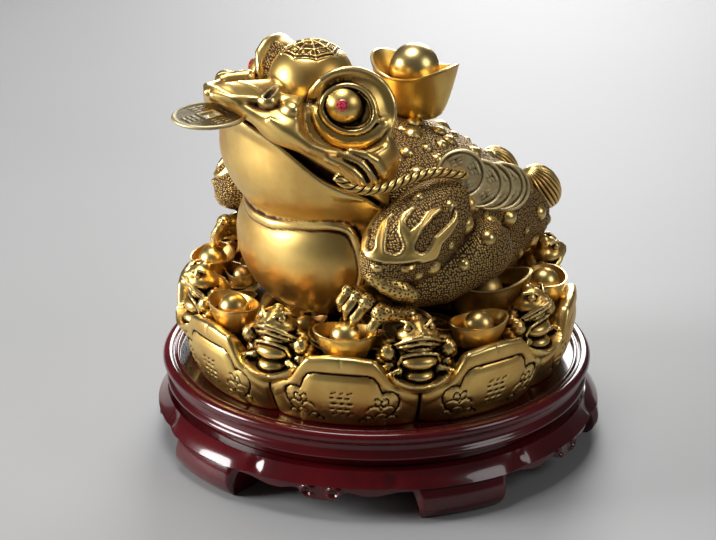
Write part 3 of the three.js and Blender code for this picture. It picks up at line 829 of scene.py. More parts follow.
def netPiece():  # a web of eight rays and straight-sided rings lies over the crown like a cap
    around, rows = int(208 / coarse) // 8 * 8, int(50 / coarse)
    angle = fullTurn(around)
    away = np.linspace(17.2, 0.15, rows)[:, None]
    near = angle + eighth / 2 - np.round(angle / eighth + 0.5) * eighth
    line = rise(away * np.abs(np.sin(near)), 0.62)
    polygon = polygonAway(away, near)
    for radius in head["netRings"]:
        line = np.maximum(line, rise(polygon - radius, 0.62))
    middle = np.abs(away * np.sin(np.abs(near) - eighth / 2))
    for radius in head["netBars"]:
        line = np.maximum(line, 0.8 * rise(polygon - radius, 0.32) * (middle < 2.4))
    edge = head["netRings"][-1] + 0.4
    radius = 20.35 + 0.5 * line - 0.5 * np.maximum(polygon - edge, 0)
    share = away / head["webRadius"]
    x, y = onRing(radius * np.sin(share), angle)
    web = np.stack([x, y, radius * np.cos(share)], -1) * np.array(head["crownRadii"]) / head["crownRadii"][2]
    points, faces = skin(np.concatenate([web[:1] * 0.9, web]) + np.array(head["crown"]))
    shade = np.where(polygon < edge, 0.25 + 0.75 * line, 0.9)
    shade = np.concatenate([shade[0], shade.ravel(), [1, 1]])
    addCast("crown_net", points, faces, {"open": shade}, sharp=70)


# Throat and belly
belly = {
    "cell": 1.0,
    "pad": ((0, -36, 109), (47.6, 34.2, 38)),
    "welt": [(0, -66.5, 124.4), (9.7, -65.7, 124.7), (24.7, -59.4, 127.3), (37, -52, 129.4), (42.1, -46.2, 127.6),
             (44, -43.5, 123.5), (45.5, -42, 117.7), (46.7, -41.5, 112), (47.2, -41.4, 105.6), (44.4, -44, 92)],
}
weltPath = [tuple(p) for p in smoothPath(belly["welt"], 3.2)]
weltRadii = [1.8 - 1.2 * max(i / (len(weltPath) - 1) - 0.8, 0) * 5 for i in range(len(weltPath))]


def throatField(x, y, z):
    x = np.abs(x)
    floor = jawHeight(y)
    plan = mouthPlan(x, y, head["jawReach"], head["jawPower"])
    waist = 0.93 - 0.011 * np.maximum(floor - z, 0)
    d = trim((plan - waist) * 40, (z - floor) * slant, 2.5)
    d = trim(d, (floor - 18 - z) * slant, 6)
    d = trim(d, y + 30, 4)
    d = melt(d, oval(x, y, z, (0, -43, 156), (49.5, 35.5, 36)), 9)
    d = trim(d, (z - floor - 0.5) * slant, 2)
    gums = trim((plan - 0.82) * 40, (z - mouthHeight(y) - 1) * slant, 2)
    gums = trim(gums, (floor - 8 - z) * slant, 2)
    d = np.minimum(d, trim(gums, y + 30, 2))
    lip = np.sqrt(((plan - 0.955) * 42) ** 2 + ((z - floor + 1.4) * slant) ** 2) - 2.3
    lip = np.where(y < -45, lip, np.sqrt(np.maximum(lip + 2.3, 0) ** 2 + (y + 45) ** 2) - 2.3)
    return melt(d, lip + 1.5 * ease(y, -55, -45).astype(f32), 1.7)


def bellyField(x, y, z):
    x = np.abs(x)
    d = melt(throatField(x, y, z), oval(x, y, z, *belly["pad"]), 5)
    return melt(d, chain(x, y, z, weltPath, weltRadii), 2.2)


def bellyPiece():
    def cut(x, y, z):
        return trim(bellyField(x, y, z), y + 22, 1)
    points, faces, normals = sculpt(cut, (-62, -86, 66), (62, -18, 192), belly["cell"])
    x, y, z = np.abs(points[:, 0]), points[:, 1], points[:, 2]
    away = chain(x, y, z, weltPath, weltRadii)
    above = ease(oval(x, y, z, *belly["pad"]) - throatField(x, y, z), -0.5, 1)
    shade = openness(cut, points, normals)
    shade += np.maximum(0.85 - shade, 0) * above * (1 - ease(away, 2.5, 5))
    shade -= 0.45 * rise(away - 0.9, 1.1) * (1 - above)
    plan = mouthPlan(x, y, head["jawReach"], head["jawPower"])
    shade *= 1 - 0.55 * ease(z - jawHeight(y), 0.2, 1.2) * ease(-plan, -0.93, -0.88)
    addCast("toad_belly", points, faces, {"open": shade})


# Trunk with the rump's fluted lobes, and the warts of its beaded skin
trunk = {
    "cell": 1.15,
    "back": [
        (0, oval, (0, 6, 127), (55, 48, 35), 6),
        (12, oval, (0, 44, 114), (47, 44, 27), 24),
        (7, oval, (19.5, 73, 103), (16.5, 15.5, 16), 20),
    ],
    "lobe": ((17.2, 88.6, 113.8), (9.5, 9.2, 13.5), -37), "flutes": 24,
    "underside": [(8, oval, (0, 20, 95), (54, 60, 26)), (5, bar, (0, 66, 98), (0, 84, 84), 13, 8)],
    "warts": [
        (21, 6, 159), (30, 16, 152.5), (38, 8, 150), (19, 23, 155), (33, 28, 146.5), (44, 12, 144), (40, 36, 138),
        (22, 44, 142),
        (18, -8, 161), (27, -16, 158), (50, 20, 128), (52, 4, 122), (50, 30, 121), (44, 50, 122), (33, -12, 154),
        (15.4, 3.4, 159.7), (11, 13.9, 159.4), (32.3, 6.4, 154.2), (31.4, -4.7, 154.2), (26.2, 24, 152.9),
        (7, 51.4, 145.7), (27.7, 38.7, 144.6), (48, 29.2, 114.2), (47.2, 38, 112.6), (46.7, 46.6, 115),
        (43, 59.9, 104.5), (37.6, 75.5, 109.1), (49.2, 39.1, 102), (50.4, 28.2, 103.8), (0.1, 38.7, 150.5),
        (16, 33, 150), (38, 22, 145.5), (42, -6, 147), (22, -14, 158.5), (36, 44, 134), (9, 66, 134),
        (26, 55, 134), (44, 30, 128), (0, 76, 121), (12, 62, 138), (34, 60, 122), (8, 84, 100), (37, 72, 92),
        (46, 58, 92), (30, 92, 98), (49, 12, 138), (0, 92, 96),
    ],
}


def trunkField(x, y, z):
    x = np.abs(x)
    return joined(x, y, z, [*trunk["back"], (1.5, oval, *trunk["lobe"]), *trunk["underside"]])


def onSurface(field, place):  # the nearest point of the surface to a place
    p = np.array([place], f32)
    for _ in range(12):
        slope = gradient(field, p)
        p = p - field(*p.T)[:, None] * slope / np.maximum((slope ** 2).sum(1), 0.1)[:, None]
    return p[0]


def wartHeight(x, y, z, places, field, seed):
    height = np.zeros(len(x))
    for i, place in enumerate(places):
        cx, cy, cz = onSurface(field, place)
        radius = 2.7 + 0.9 * math.sin(seed + 2.4 * i)
        away = np.sqrt((x - abs(cx)) ** 2 + (y - cy) ** 2 + (z - cz) ** 2)
        height = np.maximum(height, 0.62 * radius * np.sqrt(rise(away, radius * 1.25)))
    return height


def trunkPiece():
    def cut(x, y, z):
        return trim(trunkField(x, y, z), 64 - z, 1)
    points, faces, normals = sculpt(cut, (-60, -46, 60), (60, 108, 168), trunk["cell"])
    x, y, z = np.abs(points[:, 0]), points[:, 1], points[:, 2]
    centre, radii, tilt = trunk["lobe"]
    lobe = ease(-oval(x, y, z, centre, np.array(radii) + 1.5, tilt), -0.5, 1.2)
    warts = wartHeight(x, y, z, trunk["warts"], trunkField, 1)
    beads = (1 - ease(warts, 0.15, 0.6)) * (1 - lobe)
    pebbles = rise(cells(points[:, 0], y, z, 2.6), 1.5)
    height = warts + 0.42 * beads * (pebbles - 0.5) - 1.2 * lobe
    shade = openness(cut, points, normals)
    points = points + normals * height[:, None]
    addCast("toad_trunk", points, faces, {"open": shade, "beads": beads, **sides(normals)}, brassMaterial)


def lobePiece():  # the rump's two lobes, fluted from end to end
    centre, (rx, ry, rz), tilt = trunk["lobe"]
    turn = fullTurn(6 * trunk["flutes"])
    wave = np.cos(trunk["flutes"] * turn)
    rings = []
    for t in np.linspace(-0.985, 0.985, int(34 / coarse)):
        size = math.sqrt(1 - t * t) * (1.02 + 0.05 * np.abs(wave) ** 0.7 * np.sign(wave)) + 0.01
        rings.append(np.stack([rx * size * np.cos(turn), ry * size * np.sin(turn), np.full(len(turn), rz * t)], 1))
    points, faces = skin(rings)
    points = tilted(points, tilt) + np.array(centre)
    shade = np.concatenate([np.tile(ease(wave, -1, -0.1), len(rings)), [1, 1]])
    addCast("rump_lobes", *mirrored(points, faces, {"open": shade}), sharp=80)


# Front legs, with flames in low relief over beaded skin
leg = {
    "cell": 0.82,
    "fingers": [
        ((55, -54.5, 103), 3.4, (54.6, -59, 94)),
        ((58.7, -52.3, 101), 3.6, (58, -58.5, 91)),
        ((62.5, -49.2, 98.8), 4.6, (61.5, -57.5, 86)),
        ((68.3, -45, 94.4), 5.4, (69, -52.5, 83)),
    ],
    "thumb": ([(66.8, -49.4, 112.4), (70, -44, 109.4), (73.2, -38.2, 106), (75.2, -33, 102.8)], [2.8, 4.9, 5.1, 3.4]),
    "heel": ((68.5, -43.5, 93.8), (74.5, -33.5, 93), 4.2, 3.2),
    "forearm": ([(66, 14, 112), (66, -10, 102), (60, -34, 99)], [15, 11.5, 8.5]),
    "centre": (61, -20, 126), "radii": (17.5, 35, 20), "tilt": -24, "yaw": 8,
    "flames": [  # along, across and out from the leg's middle, and half the width
        [(-11, -4, 16.5, 0.9), (-10.5, -12, 16.5, 1.6), (-9.5, -19.5, 13.5, 2.1), (-2, -27, 12.3, 2.7)],
        [(0.7, -9.8, 19.1, 0.8), (0.5, -15, 18, 1.8), (3.2, -21.7, 15.2, 2.4), (5.2, -26.5, 11.5, 2.9)],
        [(6.7, -0.8, 18.3, 0.7), (6, -7.4, 18.1, 1.6), (8.4, -12, 16.2, 2.2), (11.9, -15.2, 11.8, 3.8),
         (13.4, -18.5, 6.9, 3.8)],
        [(12.8, 8, 13, 0.7), (12.3, 1.8, 14.2, 1.6), (13.5, -4.6, 12.2, 2.3), (13, -12.4, 11.2, 2.9)],
        [(14.9, 14.4, 6.8, 0.6), (16.2, 10.9, 4.3, 1.4), (17, 4.7, 3.6, 2.2), (17.1, -2.4, 3.4, 2.4),
         (17.1, -7, 0, 3.4), (16.2, -12, 1.4, 2.8)],
        [(-4, -26.5, 13, 2.2), (1, -28.5, 11.4, 2.5), (7.9, -26.3, 9.2, 2.3), (12.7, -20.5, 6.8, 2.8),
         (15.9, -13.5, 3, 2.3), (17.1, -7, 0, 2.8)],
    ],
    "gaps": [
        [(0.3, -26.2, 13.2, 2.2), (-2.3, -21.6, 15.4, 1.8), (-3.9, -15.8, 17.2, 1.5), (-4.7, -10.8, 18.2, 1.2)],
        [(9.4, -20.3, 12.1, 3.9), (6.3, -16.4, 16, 2.3), (4.1, -12.6, 18, 2.3), (3, -8.5, 19, 1.5)],
        [(9.7, -8, 15.9, 2.3), (8.5, -2.4, 17.3, 1.7), (7.7, 2.4, 17.8, 1.4)],
        [(15.6, -10.5, 6.5, 3.6), (15, -5.2, 9.5, 2.6), (15.2, 2, 9.7, 2.9), (15.1, 8.3, 8.8, 2.4), (13.8, 12, 10, 2)],
    ],
    "warts": [
        (65, -22.3, 145.8), (73, -8.9, 140.7), (67.9, 6.7, 137.3), (76.7, -11.9, 123.2), (77.6, -37, 119.6),
        (70.9, -49.9, 119.4), (75.3, -3.4, 111.2), (77, -20, 112), (55, -2, 143), (72, 12, 118), (66, 20, 126),
        (56, 14, 136), (74, 4, 128), (76, -30, 112),
    ],
}


def strands(place, paths):
    return np.minimum.reduce([chain(*place, [p[:3] for p in path], [p[3] for p in path]) for path in paths])


def legField(x, y, z):
    d = oval(x, y, z, leg["centre"], leg["radii"], leg["tilt"], leg["yaw"])
    d = joined(x, y, z, [(3, chain, *leg["forearm"]), (0.5, chain, *leg["thumb"]), (0.6, bar, *leg["heel"])], d)
    for knuckle, radius, tip in leg["fingers"]:
        d = melt(d, bar(x, y, z, (60, -38, 98), knuckle, 5, radius * 0.8), 1.5)
        d = np.minimum(d, oval(x, y, z, knuckle, (radius,) * 3))
        bend = np.array(knuckle) * 0.35 + np.array(tip) * 0.65 + np.array([0, -1.2, 1.5])
        d = melt(d, chain(x, y, z, [knuckle, tuple(bend), tip], [2.7, 2.5, 0.9]), 0.6)
    return d


def legPiece():
    points, faces, normals = sculpt(legField, (38, -64, 80), (84, 36, 152), leg["cell"])
    x, y, z = points.T
    place = local(x, y, z, leg["centre"], leg["tilt"], leg["yaw"])
    gaps = strands(place, leg["gaps"])
    flame = trim(strands(place, leg["flames"]) - 0.35, -gaps, 1)
    smooth = 1 - ease(flame, -0.6, 0.6)
    edge = rise(flame + 0.9, 1.3)
    warts = wartHeight(x, y, z, leg["warts"], legField, 4) * (1 - ease(-flame, -2.5, -1))
    knuckles = np.minimum.reduce([oval(x, y, z, k, (r,) * 3) for k, r, _ in leg["fingers"]])
    thumb = joined(x, y, z, [(0, chain, *leg["thumb"]), (0, bar, *leg["heel"])])
    pits = 1 - ease(np.minimum(knuckles, thumb), 0.2, 0.9)
    claw = 1 - ease(np.minimum.reduce([bar(x, y, z, k, t, 3.2, 2.2) for k, _, t in leg["fingers"]]), 1, 2.2)
    claw = claw * (1 - pits)
    hand = np.minimum.reduce([bar(x, y, z, (60, -44, 99), k, 3.5, r) for k, r, _ in leg["fingers"]])
    claw = np.maximum(claw, (1 - ease(hand, 0.5, 2)) * (1 - pits))
    beads = (1 - smooth) * (1 - ease(warts, 0.15, 0.6)) * (1 - claw) * (1 - pits)
    pebbles = rise(cells(x, y, z, 2.2), 1.3)
    height = 0.95 * smooth + 0.28 * edge + warts * (1 - smooth) + 0.22 * beads * (pebbles - 0.5)
    shade = openness(legField, points, normals) - 0.45 * (1 - smooth) * rise(flame, 1.3)
    points = points + normals * height[:, None]
    extra = {"open": shade, "beads": beads, "pits": pits, **sides(normals)}
    addCast("front_legs", *mirrored(points, faces, extra), brassMaterial)


headPiece()
netPiece()
bellyPiece()
trunkPiece()
lobePiece()
legPiece()

# Ingots: a boat on an oval foot with raised ends and a dome in its hollow
# sizes: length, width, height, columns, rise of the ends, and the dome's height and radius, as shares
backBoat = {"sizes": (47, 34, 28, 104, 0.24, 0.83, 0.36), "turn": 18, "seat": (0, 22, 160.5)}
baseBoat = {"sizes": (31, 22, 13, 52, 0.10, 0.72, 0.335), "ring": 83.5, "foot": 73}


def boat(length, width, height, around, raised=0.30, domeRise=0.58, domeShare=0.335):
    angle = fullTurn(around)
    rim = height * (1 - raised + raised * np.cos(angle) ** 2)

    def ring(share, z):
        x = length / 2 * share * np.cos(angle)
        return np.stack([x, width / 2 * share * np.sin(angle), np.broadcast_to(z, angle.shape)], 1)

    wall = max(width * 0.035, 0.5)
    rings = [ring(0.3, 0), ring(0.54, 0)]
    for t in np.linspace(0, 1, 15)[1:]:
        rings.append(ring(0.56 + 0.44 * t ** 0.62, rim * t))
    inner = 1 - 2 * wall / width
    rings += [ring(1.008, rim + 0.10), ring(1.0, rim + wall * 0.55), ring(inner + 0.01, rim + wall * 0.5)]
    floor, middle, dome = height * 0.45, height * domeRise, width * domeShare
    start = math.asin((floor - middle) / dome)
    for t in np.linspace(0, 1, 9):
        rings.append(ring(inner * (1 - t) + 0.72 * t, rim * (1 - t) + floor * t))
    circle = np.stack([np.cos(angle), np.sin(angle)], 1)
    for t in np.linspace(start, math.radians(86), 14):
        rings.append(np.column_stack([circle * dome * math.cos(t), np.full(around, middle + dome * math.sin(t))]))
    return skin(rings)


def boatPieces():
    points, faces = boat(*backBoat["sizes"])
    points = spun(points, backBoat["turn"]) + np.array(backBoat["seat"])
    addCast("back_ingot", points, faces, {"open": 1})
    points, faces = boat(*baseBoat["sizes"])
    points = points + np.array([0, -baseBoat["ring"], baseBoat["foot"]])
    shade = ease(points[:, 2], baseBoat["foot"] - 1, baseBoat["foot"] + 5)
    addCast("base_ingots", *merged([(spun(points, 45 * i), faces, {"open": shade}) for i in range(8)]))


boatPieces()

# Coins: a raised rim, a plain ground and groups of short strokes that are no letters
flankCoins = {
    "radius": 11.8, "thick": 2, "facing": (0.80, -0.46, 0.38),
    "places": [(60.5, 5.5, 150.1), (58.5, 17.8, 142.2), (56, 26.1, 138.4), (53.2, 35.2, 135.7), (50, 40.8, 133)],
}
mouthCoin = {"radius": 17.9, "thick": 2.1, "hole": 7.2, "place": (0, -94.2, 181), "tilt": -2}


def strokes(u, v, size):  # four groups of plain dashes about the middle, for u and v from -1 to 1
    line = np.zeros(u.shape)
    for along, out in ((u, v), (v, -u), (u, -v), (v, u)):
        dash = np.abs(np.abs(along) - 0.12) < 0.085
        for row in range(3):
            line = np.maximum(line, rise(out - 0.42 - 0.14 * row, 0.055) * dash)
    return line * size


def coin(radius, thick, hole, around, rings):
    angle = fullTurn(around) + math.pi / around
    circle = np.stack([np.cos(angle), np.sin(angle)], 1)
    square = circle / np.abs(circle).max(1, keepdims=True) * (hole / 2 if hole else 0.05)
    rows = []
    shares = np.linspace(0, 1, rings) ** 0.9
    for side in (1, -1):
        for t in shares[::side]:
            flat = square * (1 - t) + circle * (radius - 0.25) * t
            r = np.hypot(flat[:, 0], flat[:, 1]) / radius
            lift = rise(r - 0.935, 0.075) * 0.5 + strokes(flat[:, 0] / radius, flat[:, 1] / radius, 0.32)
            if hole:
                lift += 0.45 * rise(np.abs(flat).max(1) - hole / 2 - 0.7, 0.9)
            z = side * (thick / 2 - 0.5 + np.minimum(lift, 0.5)) - side * 0.15 * (t > 0.999)
            rows.append(np.column_stack([flat, z]))
        if side == 1:
            for z in (thick / 2 - 0.9, -thick / 2 + 0.9):
                rows.append(np.column_stack([circle * radius, np.full(around, z)]))
    return skin(rows, closedRows=bool(hole))


def turnedTo(points, normal, roll):
    points = spun(points, roll)
    normal = unit(normal)
    side = unit(np.cross((0, 0, 1), normal)) if abs(normal[2]) < 0.999 else np.array([1, 0, 0])
    return points @ np.stack([side, np.cross(normal, side), normal])


def coinPieces():
    points, faces = coin(flankCoins["radius"], flankCoins["thick"], 0, 56, 19)
    parts = []
    for i, place in enumerate(flankCoins["places"]):
        parts.append((turnedTo(points, flankCoins["facing"], 20 + 9 * i) + np.array(place), faces, {}))
    addCast("flank_coins", *mirrored(*merged(parts)), coinMaterial, 50)
    points, faces = coin(mouthCoin["radius"], mouthCoin["thick"], mouthCoin["hole"], 128, 26)
    points = tilted(points, mouthCoin["tilt"]) + np.array(mouthCoin["place"])
    addPiece("mouth_coin", points, faces, {}, darkCoin, "coin_in_mouth", 50)


coinPieces()

# Rope, three strands twisted
rope = {
    "radius": 2.4, "pitch": 12.9, "around": 36, "groove": 0.5,
    "path": [(54, -61, 161), (58, -55, 155), (60, -45.5, 152.4), (60.5, -37, 152.2), (61, -29, 153.4),
             (61.3, -20, 154.6), (61.8, -12, 154.6), (62.3, -4, 153), (62.8, 3.6, 150.6), (61.5, 6.5, 149.4)],
}


def ropePiece():
    path = smoothPath(rope["path"], 0.38 * coarse)
    along = np.gradient(path, axis=0)
    along /= np.linalg.norm(along, axis=1, keepdims=True)
    side = np.cross((0.3, 0.2, 1), along)
    side /= np.linalg.norm(side, axis=1, keepdims=True)
    top = np.cross(along, side)
    length = np.concatenate([[0], np.cumsum(np.linalg.norm(np.diff(path, axis=0), axis=1))])
    angle = fullTurn(rope["around"])
    rings, shades = [], []
    for i, place in enumerate(path):
        twist = -2 * math.pi * length[i] / rope["pitch"]
        strand = np.abs(np.cos(1.5 * (angle - twist)))  # 1 on top of a strand, 0 between two
        radius = rope["radius"] * (1 - rope["groove"] * (1 - np.sqrt(1 - (1 - strand) ** 2)))
        if i in (0, len(path) - 1):
            radius = radius * 0.7
        rings.append(place + np.outer(radius * np.cos(angle), side[i]) + np.outer(radius * np.sin(angle), top[i]))
        shades.append(ease(strand, 0.05, 0.75))
    points, faces = skin(rings)
    shade = np.concatenate([*shades, [1, 1]])
    addCast("rope", *mirrored(points, faces, {"open": shade}), sharp=80)


ropePiece()

# Cut stones in the eyes
stone = {
    "radius": 2.95, "sides": 8, "seat": 9.48,  # seat: out from the eyeball's middle
    # turn in sides, share of the radius, height
    "cuts": [(0, 0.3, -1.8), (0, 0.98, -0.15), (0, 0.98, 0.1), (0.5, 0.80, 0.48), (0, 0.52, 0.792)],
}


def stonePieces():
    for name, node, side in (("left_stone", "eye_gem_left", 1), ("right_stone", "eye_gem_right", -1)):
        turn = fullTurn(stone["sides"])
        rings = []
        for part, share, height in stone["cuts"]:
            a = turn + part * 2 * math.pi / stone["sides"]
            r = stone["radius"] * share
            rings.append(np.column_stack([np.cos(a) * r, np.sin(a) * r, np.full(len(a), height)]))
        points, faces = skin(rings)
        rear, up, out, _ = head["ball"]
        centre = np.array(head["eye"]) + rear * eyeRear + up * eyeUp + (out + stone["seat"]) * eyeOut
        flip = np.array([side, 1, 1])
        points = turnedTo(points, eyeOut * flip, 11) + centre * flip
        addPiece(name, points, faces, {}, rubyMaterial, node, 5)


stonePieces()

# Base: eight petals with bracket-shaped tops, each with a cloud-shaped panel
petal = {
    "footRadius": 91, "inner": 76, "foot": 40.6, "top": 78, "bulge": 8.5, "columns": 112, "rows": 46,
    # outline of the panel's right half, along the petal and in height, with its upper edge first
    "panel": [(0, 69.6), (12.5, 69.5), (15.4, 68.4), (17.6, 65.6), (18.8, 62.2), (19.7, 60.4), (21.4, 61.5),
              (24.3, 61.3), (26.8, 59.4), (27.8, 56.4), (27.2, 52.6), (25, 49), (21.5, 45.8)],
    "upperPoints": 10,
    # middle, radius, and the angles it runs between
    "clouds": [((22.4, 50.2), 3.6, -60, 175), ((15.8, 50.0), 3.4, 5, 215), ((19.2, 46.2), 3.2, 15, 165),
               ((13.2, 45.2), 2.4, 10, 190), ((24.2, 45.4), 2.4, 0, 160), ((10.6, 43.6), 2.0, 20, 180)],
    "buds": [((17.6, 55.6), 20), ((20.9, 55.4), -20)],
    # inwards from the face and down from the edge
    "rim": [(0.35, 0.75), (1.1, 0.25), (2.2, 0.0), (3.8, 0.2), (5.6, 1.2), (8.0, 4.0)],
}


def petalEdge(u):
    a = np.abs(u)
    return petal["top"] - 1.2 * ease(a, 0.1, 0.4) - 12.6 * ease(a, 0.38, 0.70) - 5.6 * ease(a, 0.70, 1)


def ringStroke(a, z, centre, radius, low, high):  # an arc between two angles in degrees
    da, dz = a - centre[0], z - centre[1]
    angle = np.degrees(np.arctan2(dz, da))
    return rise(np.hypot(da, dz) - radius, 0.6) * (angle > low) * (angle < high)


def pathAway(a, z, path):
    best = np.full(np.shape(a), 99.0)
    for (xa, za), (xb, zb) in zip(path, path[1:]):
        share = np.clip(((a - xa) * (xb - xa) + (z - za) * (zb - za)) / ((xb - xa) ** 2 + (zb - za) ** 2), 0, 1)
        best = np.minimum(best, np.hypot(a - xa - share * (xb - xa), z - za - share * (zb - za)))
    return best


def panelRelief(a, z, edge):  # a: along the petal, z: height, both in millimetres
    side = np.abs(a)
    below = edge - z
    away = pathAway(side, z, petal["panel"])
    line = rise(away, 1.0)
    top = np.interp(side, *np.array(petal["panel"][:petal["upperPoints"]]).T)
    inside = (z < top) & ((side < 21.5) | (away > 0) & (z > 45.8 + (side - 21.5) * 1.2)) & (side < 27.8)
    pillow = 0.9 * ease(away, 0.4, 4.5) * inside
    border = 0.75 * np.sin(math.pi * np.clip(below / 8.5, 0, 1)) * (~inside)
    for cloud in petal["clouds"]:
        line = np.maximum(line, ringStroke(side, z, *cloud))
    for centre, tilt in petal["buds"]:
        da, dz = side - centre[0], z - centre[1]
        c, t = cosSin(tilt)
        da, dz = da * c + dz * t, dz * c - da * t
        line = np.maximum(line, rise(np.sqrt((da / 1.5) ** 2 + (dz / 2.4) ** 2) * 2 - 2, 0.6))
    for row in range(5):  # rows of plain strokes, no writing
        for group in range(3):
            across = a - 3.6 * (group - 1) - 0.5 * (-1) ** row
            dash = np.abs(across) < (1.1 if (row + group) % 2 else 1.35)
            line = np.maximum(line, rise(z - 48.2 - 3 * row - 0.12 * across, 0.62) * dash)
    crease = 0.4 * rise(a, 1.3) * ease(z, 72, 74.5)
    return border + pillow - 0.95 * line - crease, np.clip(line + crease, 0, 1)


def petalPiece():
    columns = int(petal["columns"] / coarse) * 8
    turn = fullTurn(columns)
    u = (turn / (eighth / 2) + 1) % 2 - 1
    edge = petalEdge(u)
    notch = 4 * np.abs(u) ** 6
    rows, shades = [], []

    def row(radius, z, shade):
        rows.append(levelRing(radius, turn, z))
        shades.append(np.broadcast_to(shade, turn.shape))

    for share in np.linspace(0, 0.965, int(petal["rows"] / coarse)):
        z = petal["foot"] + (edge - petal["foot"]) * share
        full = np.clip((z - petal["foot"]) / 29.25, 0, 1) ** 0.8
        radius = petal["footRadius"] + petal["bulge"] * np.sin(math.pi / 2 * full) - notch - 0.95
        relief, line = panelRelief(u * eighth / 2 * 97, z, edge)  # 97 mm out, where the face is widest
        valley = rise((1 - np.abs(u)) * 38, 1.7)
        under = rise(edge - z, 3) * ease(np.abs(u), 0.55, 0.68)
        row(radius + relief - 1.1 * valley - 0.5 * under, z, 1 - 0.8 * line - 0.75 * np.maximum(valley, under))
    base = radius + relief
    for inward, drop in petal["rim"]:
        row(base - inward, edge - drop, 0.75 if inward > 3 else 1)
    for z in (50, petal["foot"]):
        row(petal["inner"], z, 0.2)
    points, faces = skin(rows, closedRows=True)
    addCast("petal_base", points, faces, {"open": np.concatenate(shades)}, sharp=70)


petalPiece()

# Mound inside the petals, with loose coins and ingots lying on it
mound = {
    "radius": 92, "top": 82, "drop": 23.5,
    # distance from the middle, angle from the front and the lean in x and y
    "coins": [(68, 8, 9, -12), (72, 36, 8, 20), (77, 17, -6, 14), (70, -22, -6, 10), (66, -56, 12, -6),
              (71, 56, -10, 12), (76, 66, 12, 8), (61, 47, 6, 10), (62, 66, 10, -8), (60, 84, -6, 10),
              (60, 22, 10, 4), (70, 82, 8, 14), (68, 104, -8, 10), (70, 128, 12, -8), (67, 152, -10, 10),
              (70, 178, 8, 12), (68, 202, -12, 8), (69, 226, 10, -10), (67, 250, -8, 12), (70, 276, 10, 8),
              (68, 298, -10, -8), (70, 322, 8, 12)],
    # distance, angle from the front and turn
    "boats": [(68, 25, 55), (67, -38, 10), (64, 74, -20), (71, 50, 35), (66, 165, 5), (66, 215, -30), (66, 262, 15),
              (67, 310, -12)],
    "bowl": (46, 31, 22, 64, 0.25, 0.5, 0.3), "bowlTurn": 50, "bowlPlace": (60, 21, 76),
}


def moundHeight(radius):
    return mound["top"] - mound["drop"] * (1 - np.sqrt(1 - (radius / mound["radius"]) ** 2))


def moundPieces():
    turn = fullTurn(180)
    rings = [levelRing(88, turn, 50), levelRing(88, turn, moundHeight(88))]
    for radius in [*np.linspace(88, 30, 30), 2]:
        lumps = 0.9 * (np.sin(9 * turn + radius / 5) + np.sin(17 * turn - radius / 3)) - 1.8
        rings.append(levelRing(radius, turn, moundHeight(radius) + lumps))
    points, faces = skin(rings)
    # painted shade: the mound and the treasure lying on it get a fixed open below 1, so the brass darkens them all
    # over
    addCast("mound", points, faces, {"open": 0.45}, agedShadedBrass)
    parts = []
    points, faces = coin(9.4, 1.8, 4.0, 40, 7)
    for i, (radius, angle, leanX, leanY) in enumerate(mound["coins"]):
        x, y = onRing(radius, math.radians(angle))
        lean = [math.sin(math.radians(lean)) + 0.22 * side / radius for lean, side in ((leanX, x), (leanY, y))]
        for layer in range(1 + (i % 3 == 1)):
            place = np.array([x, y, moundHeight(radius) + 1.2 + 2.1 * layer])
            parts.append((turnedTo(points, (*lean, 1), 37 * i) + place, faces, {"open": 0.62}))
    points, faces = boat(21, 14.5, 9.5, 32)
    for radius, angle, turnBy in mound["boats"]:
        place = np.array([*onRing(radius, math.radians(angle)), moundHeight(radius) - 1.5])
        parts.append((spun(points, turnBy) + place, faces, {"open": 0.7}))
    points, faces = boat(*mound["bowl"])
    parts.append((spun(points, mound["bowlTurn"]) + np.array(mound["bowlPlace"]), faces, {"open": 0.9}))
    addCast("loose_treasure", *merged(parts), agedShadedBrass)


moundPieces()

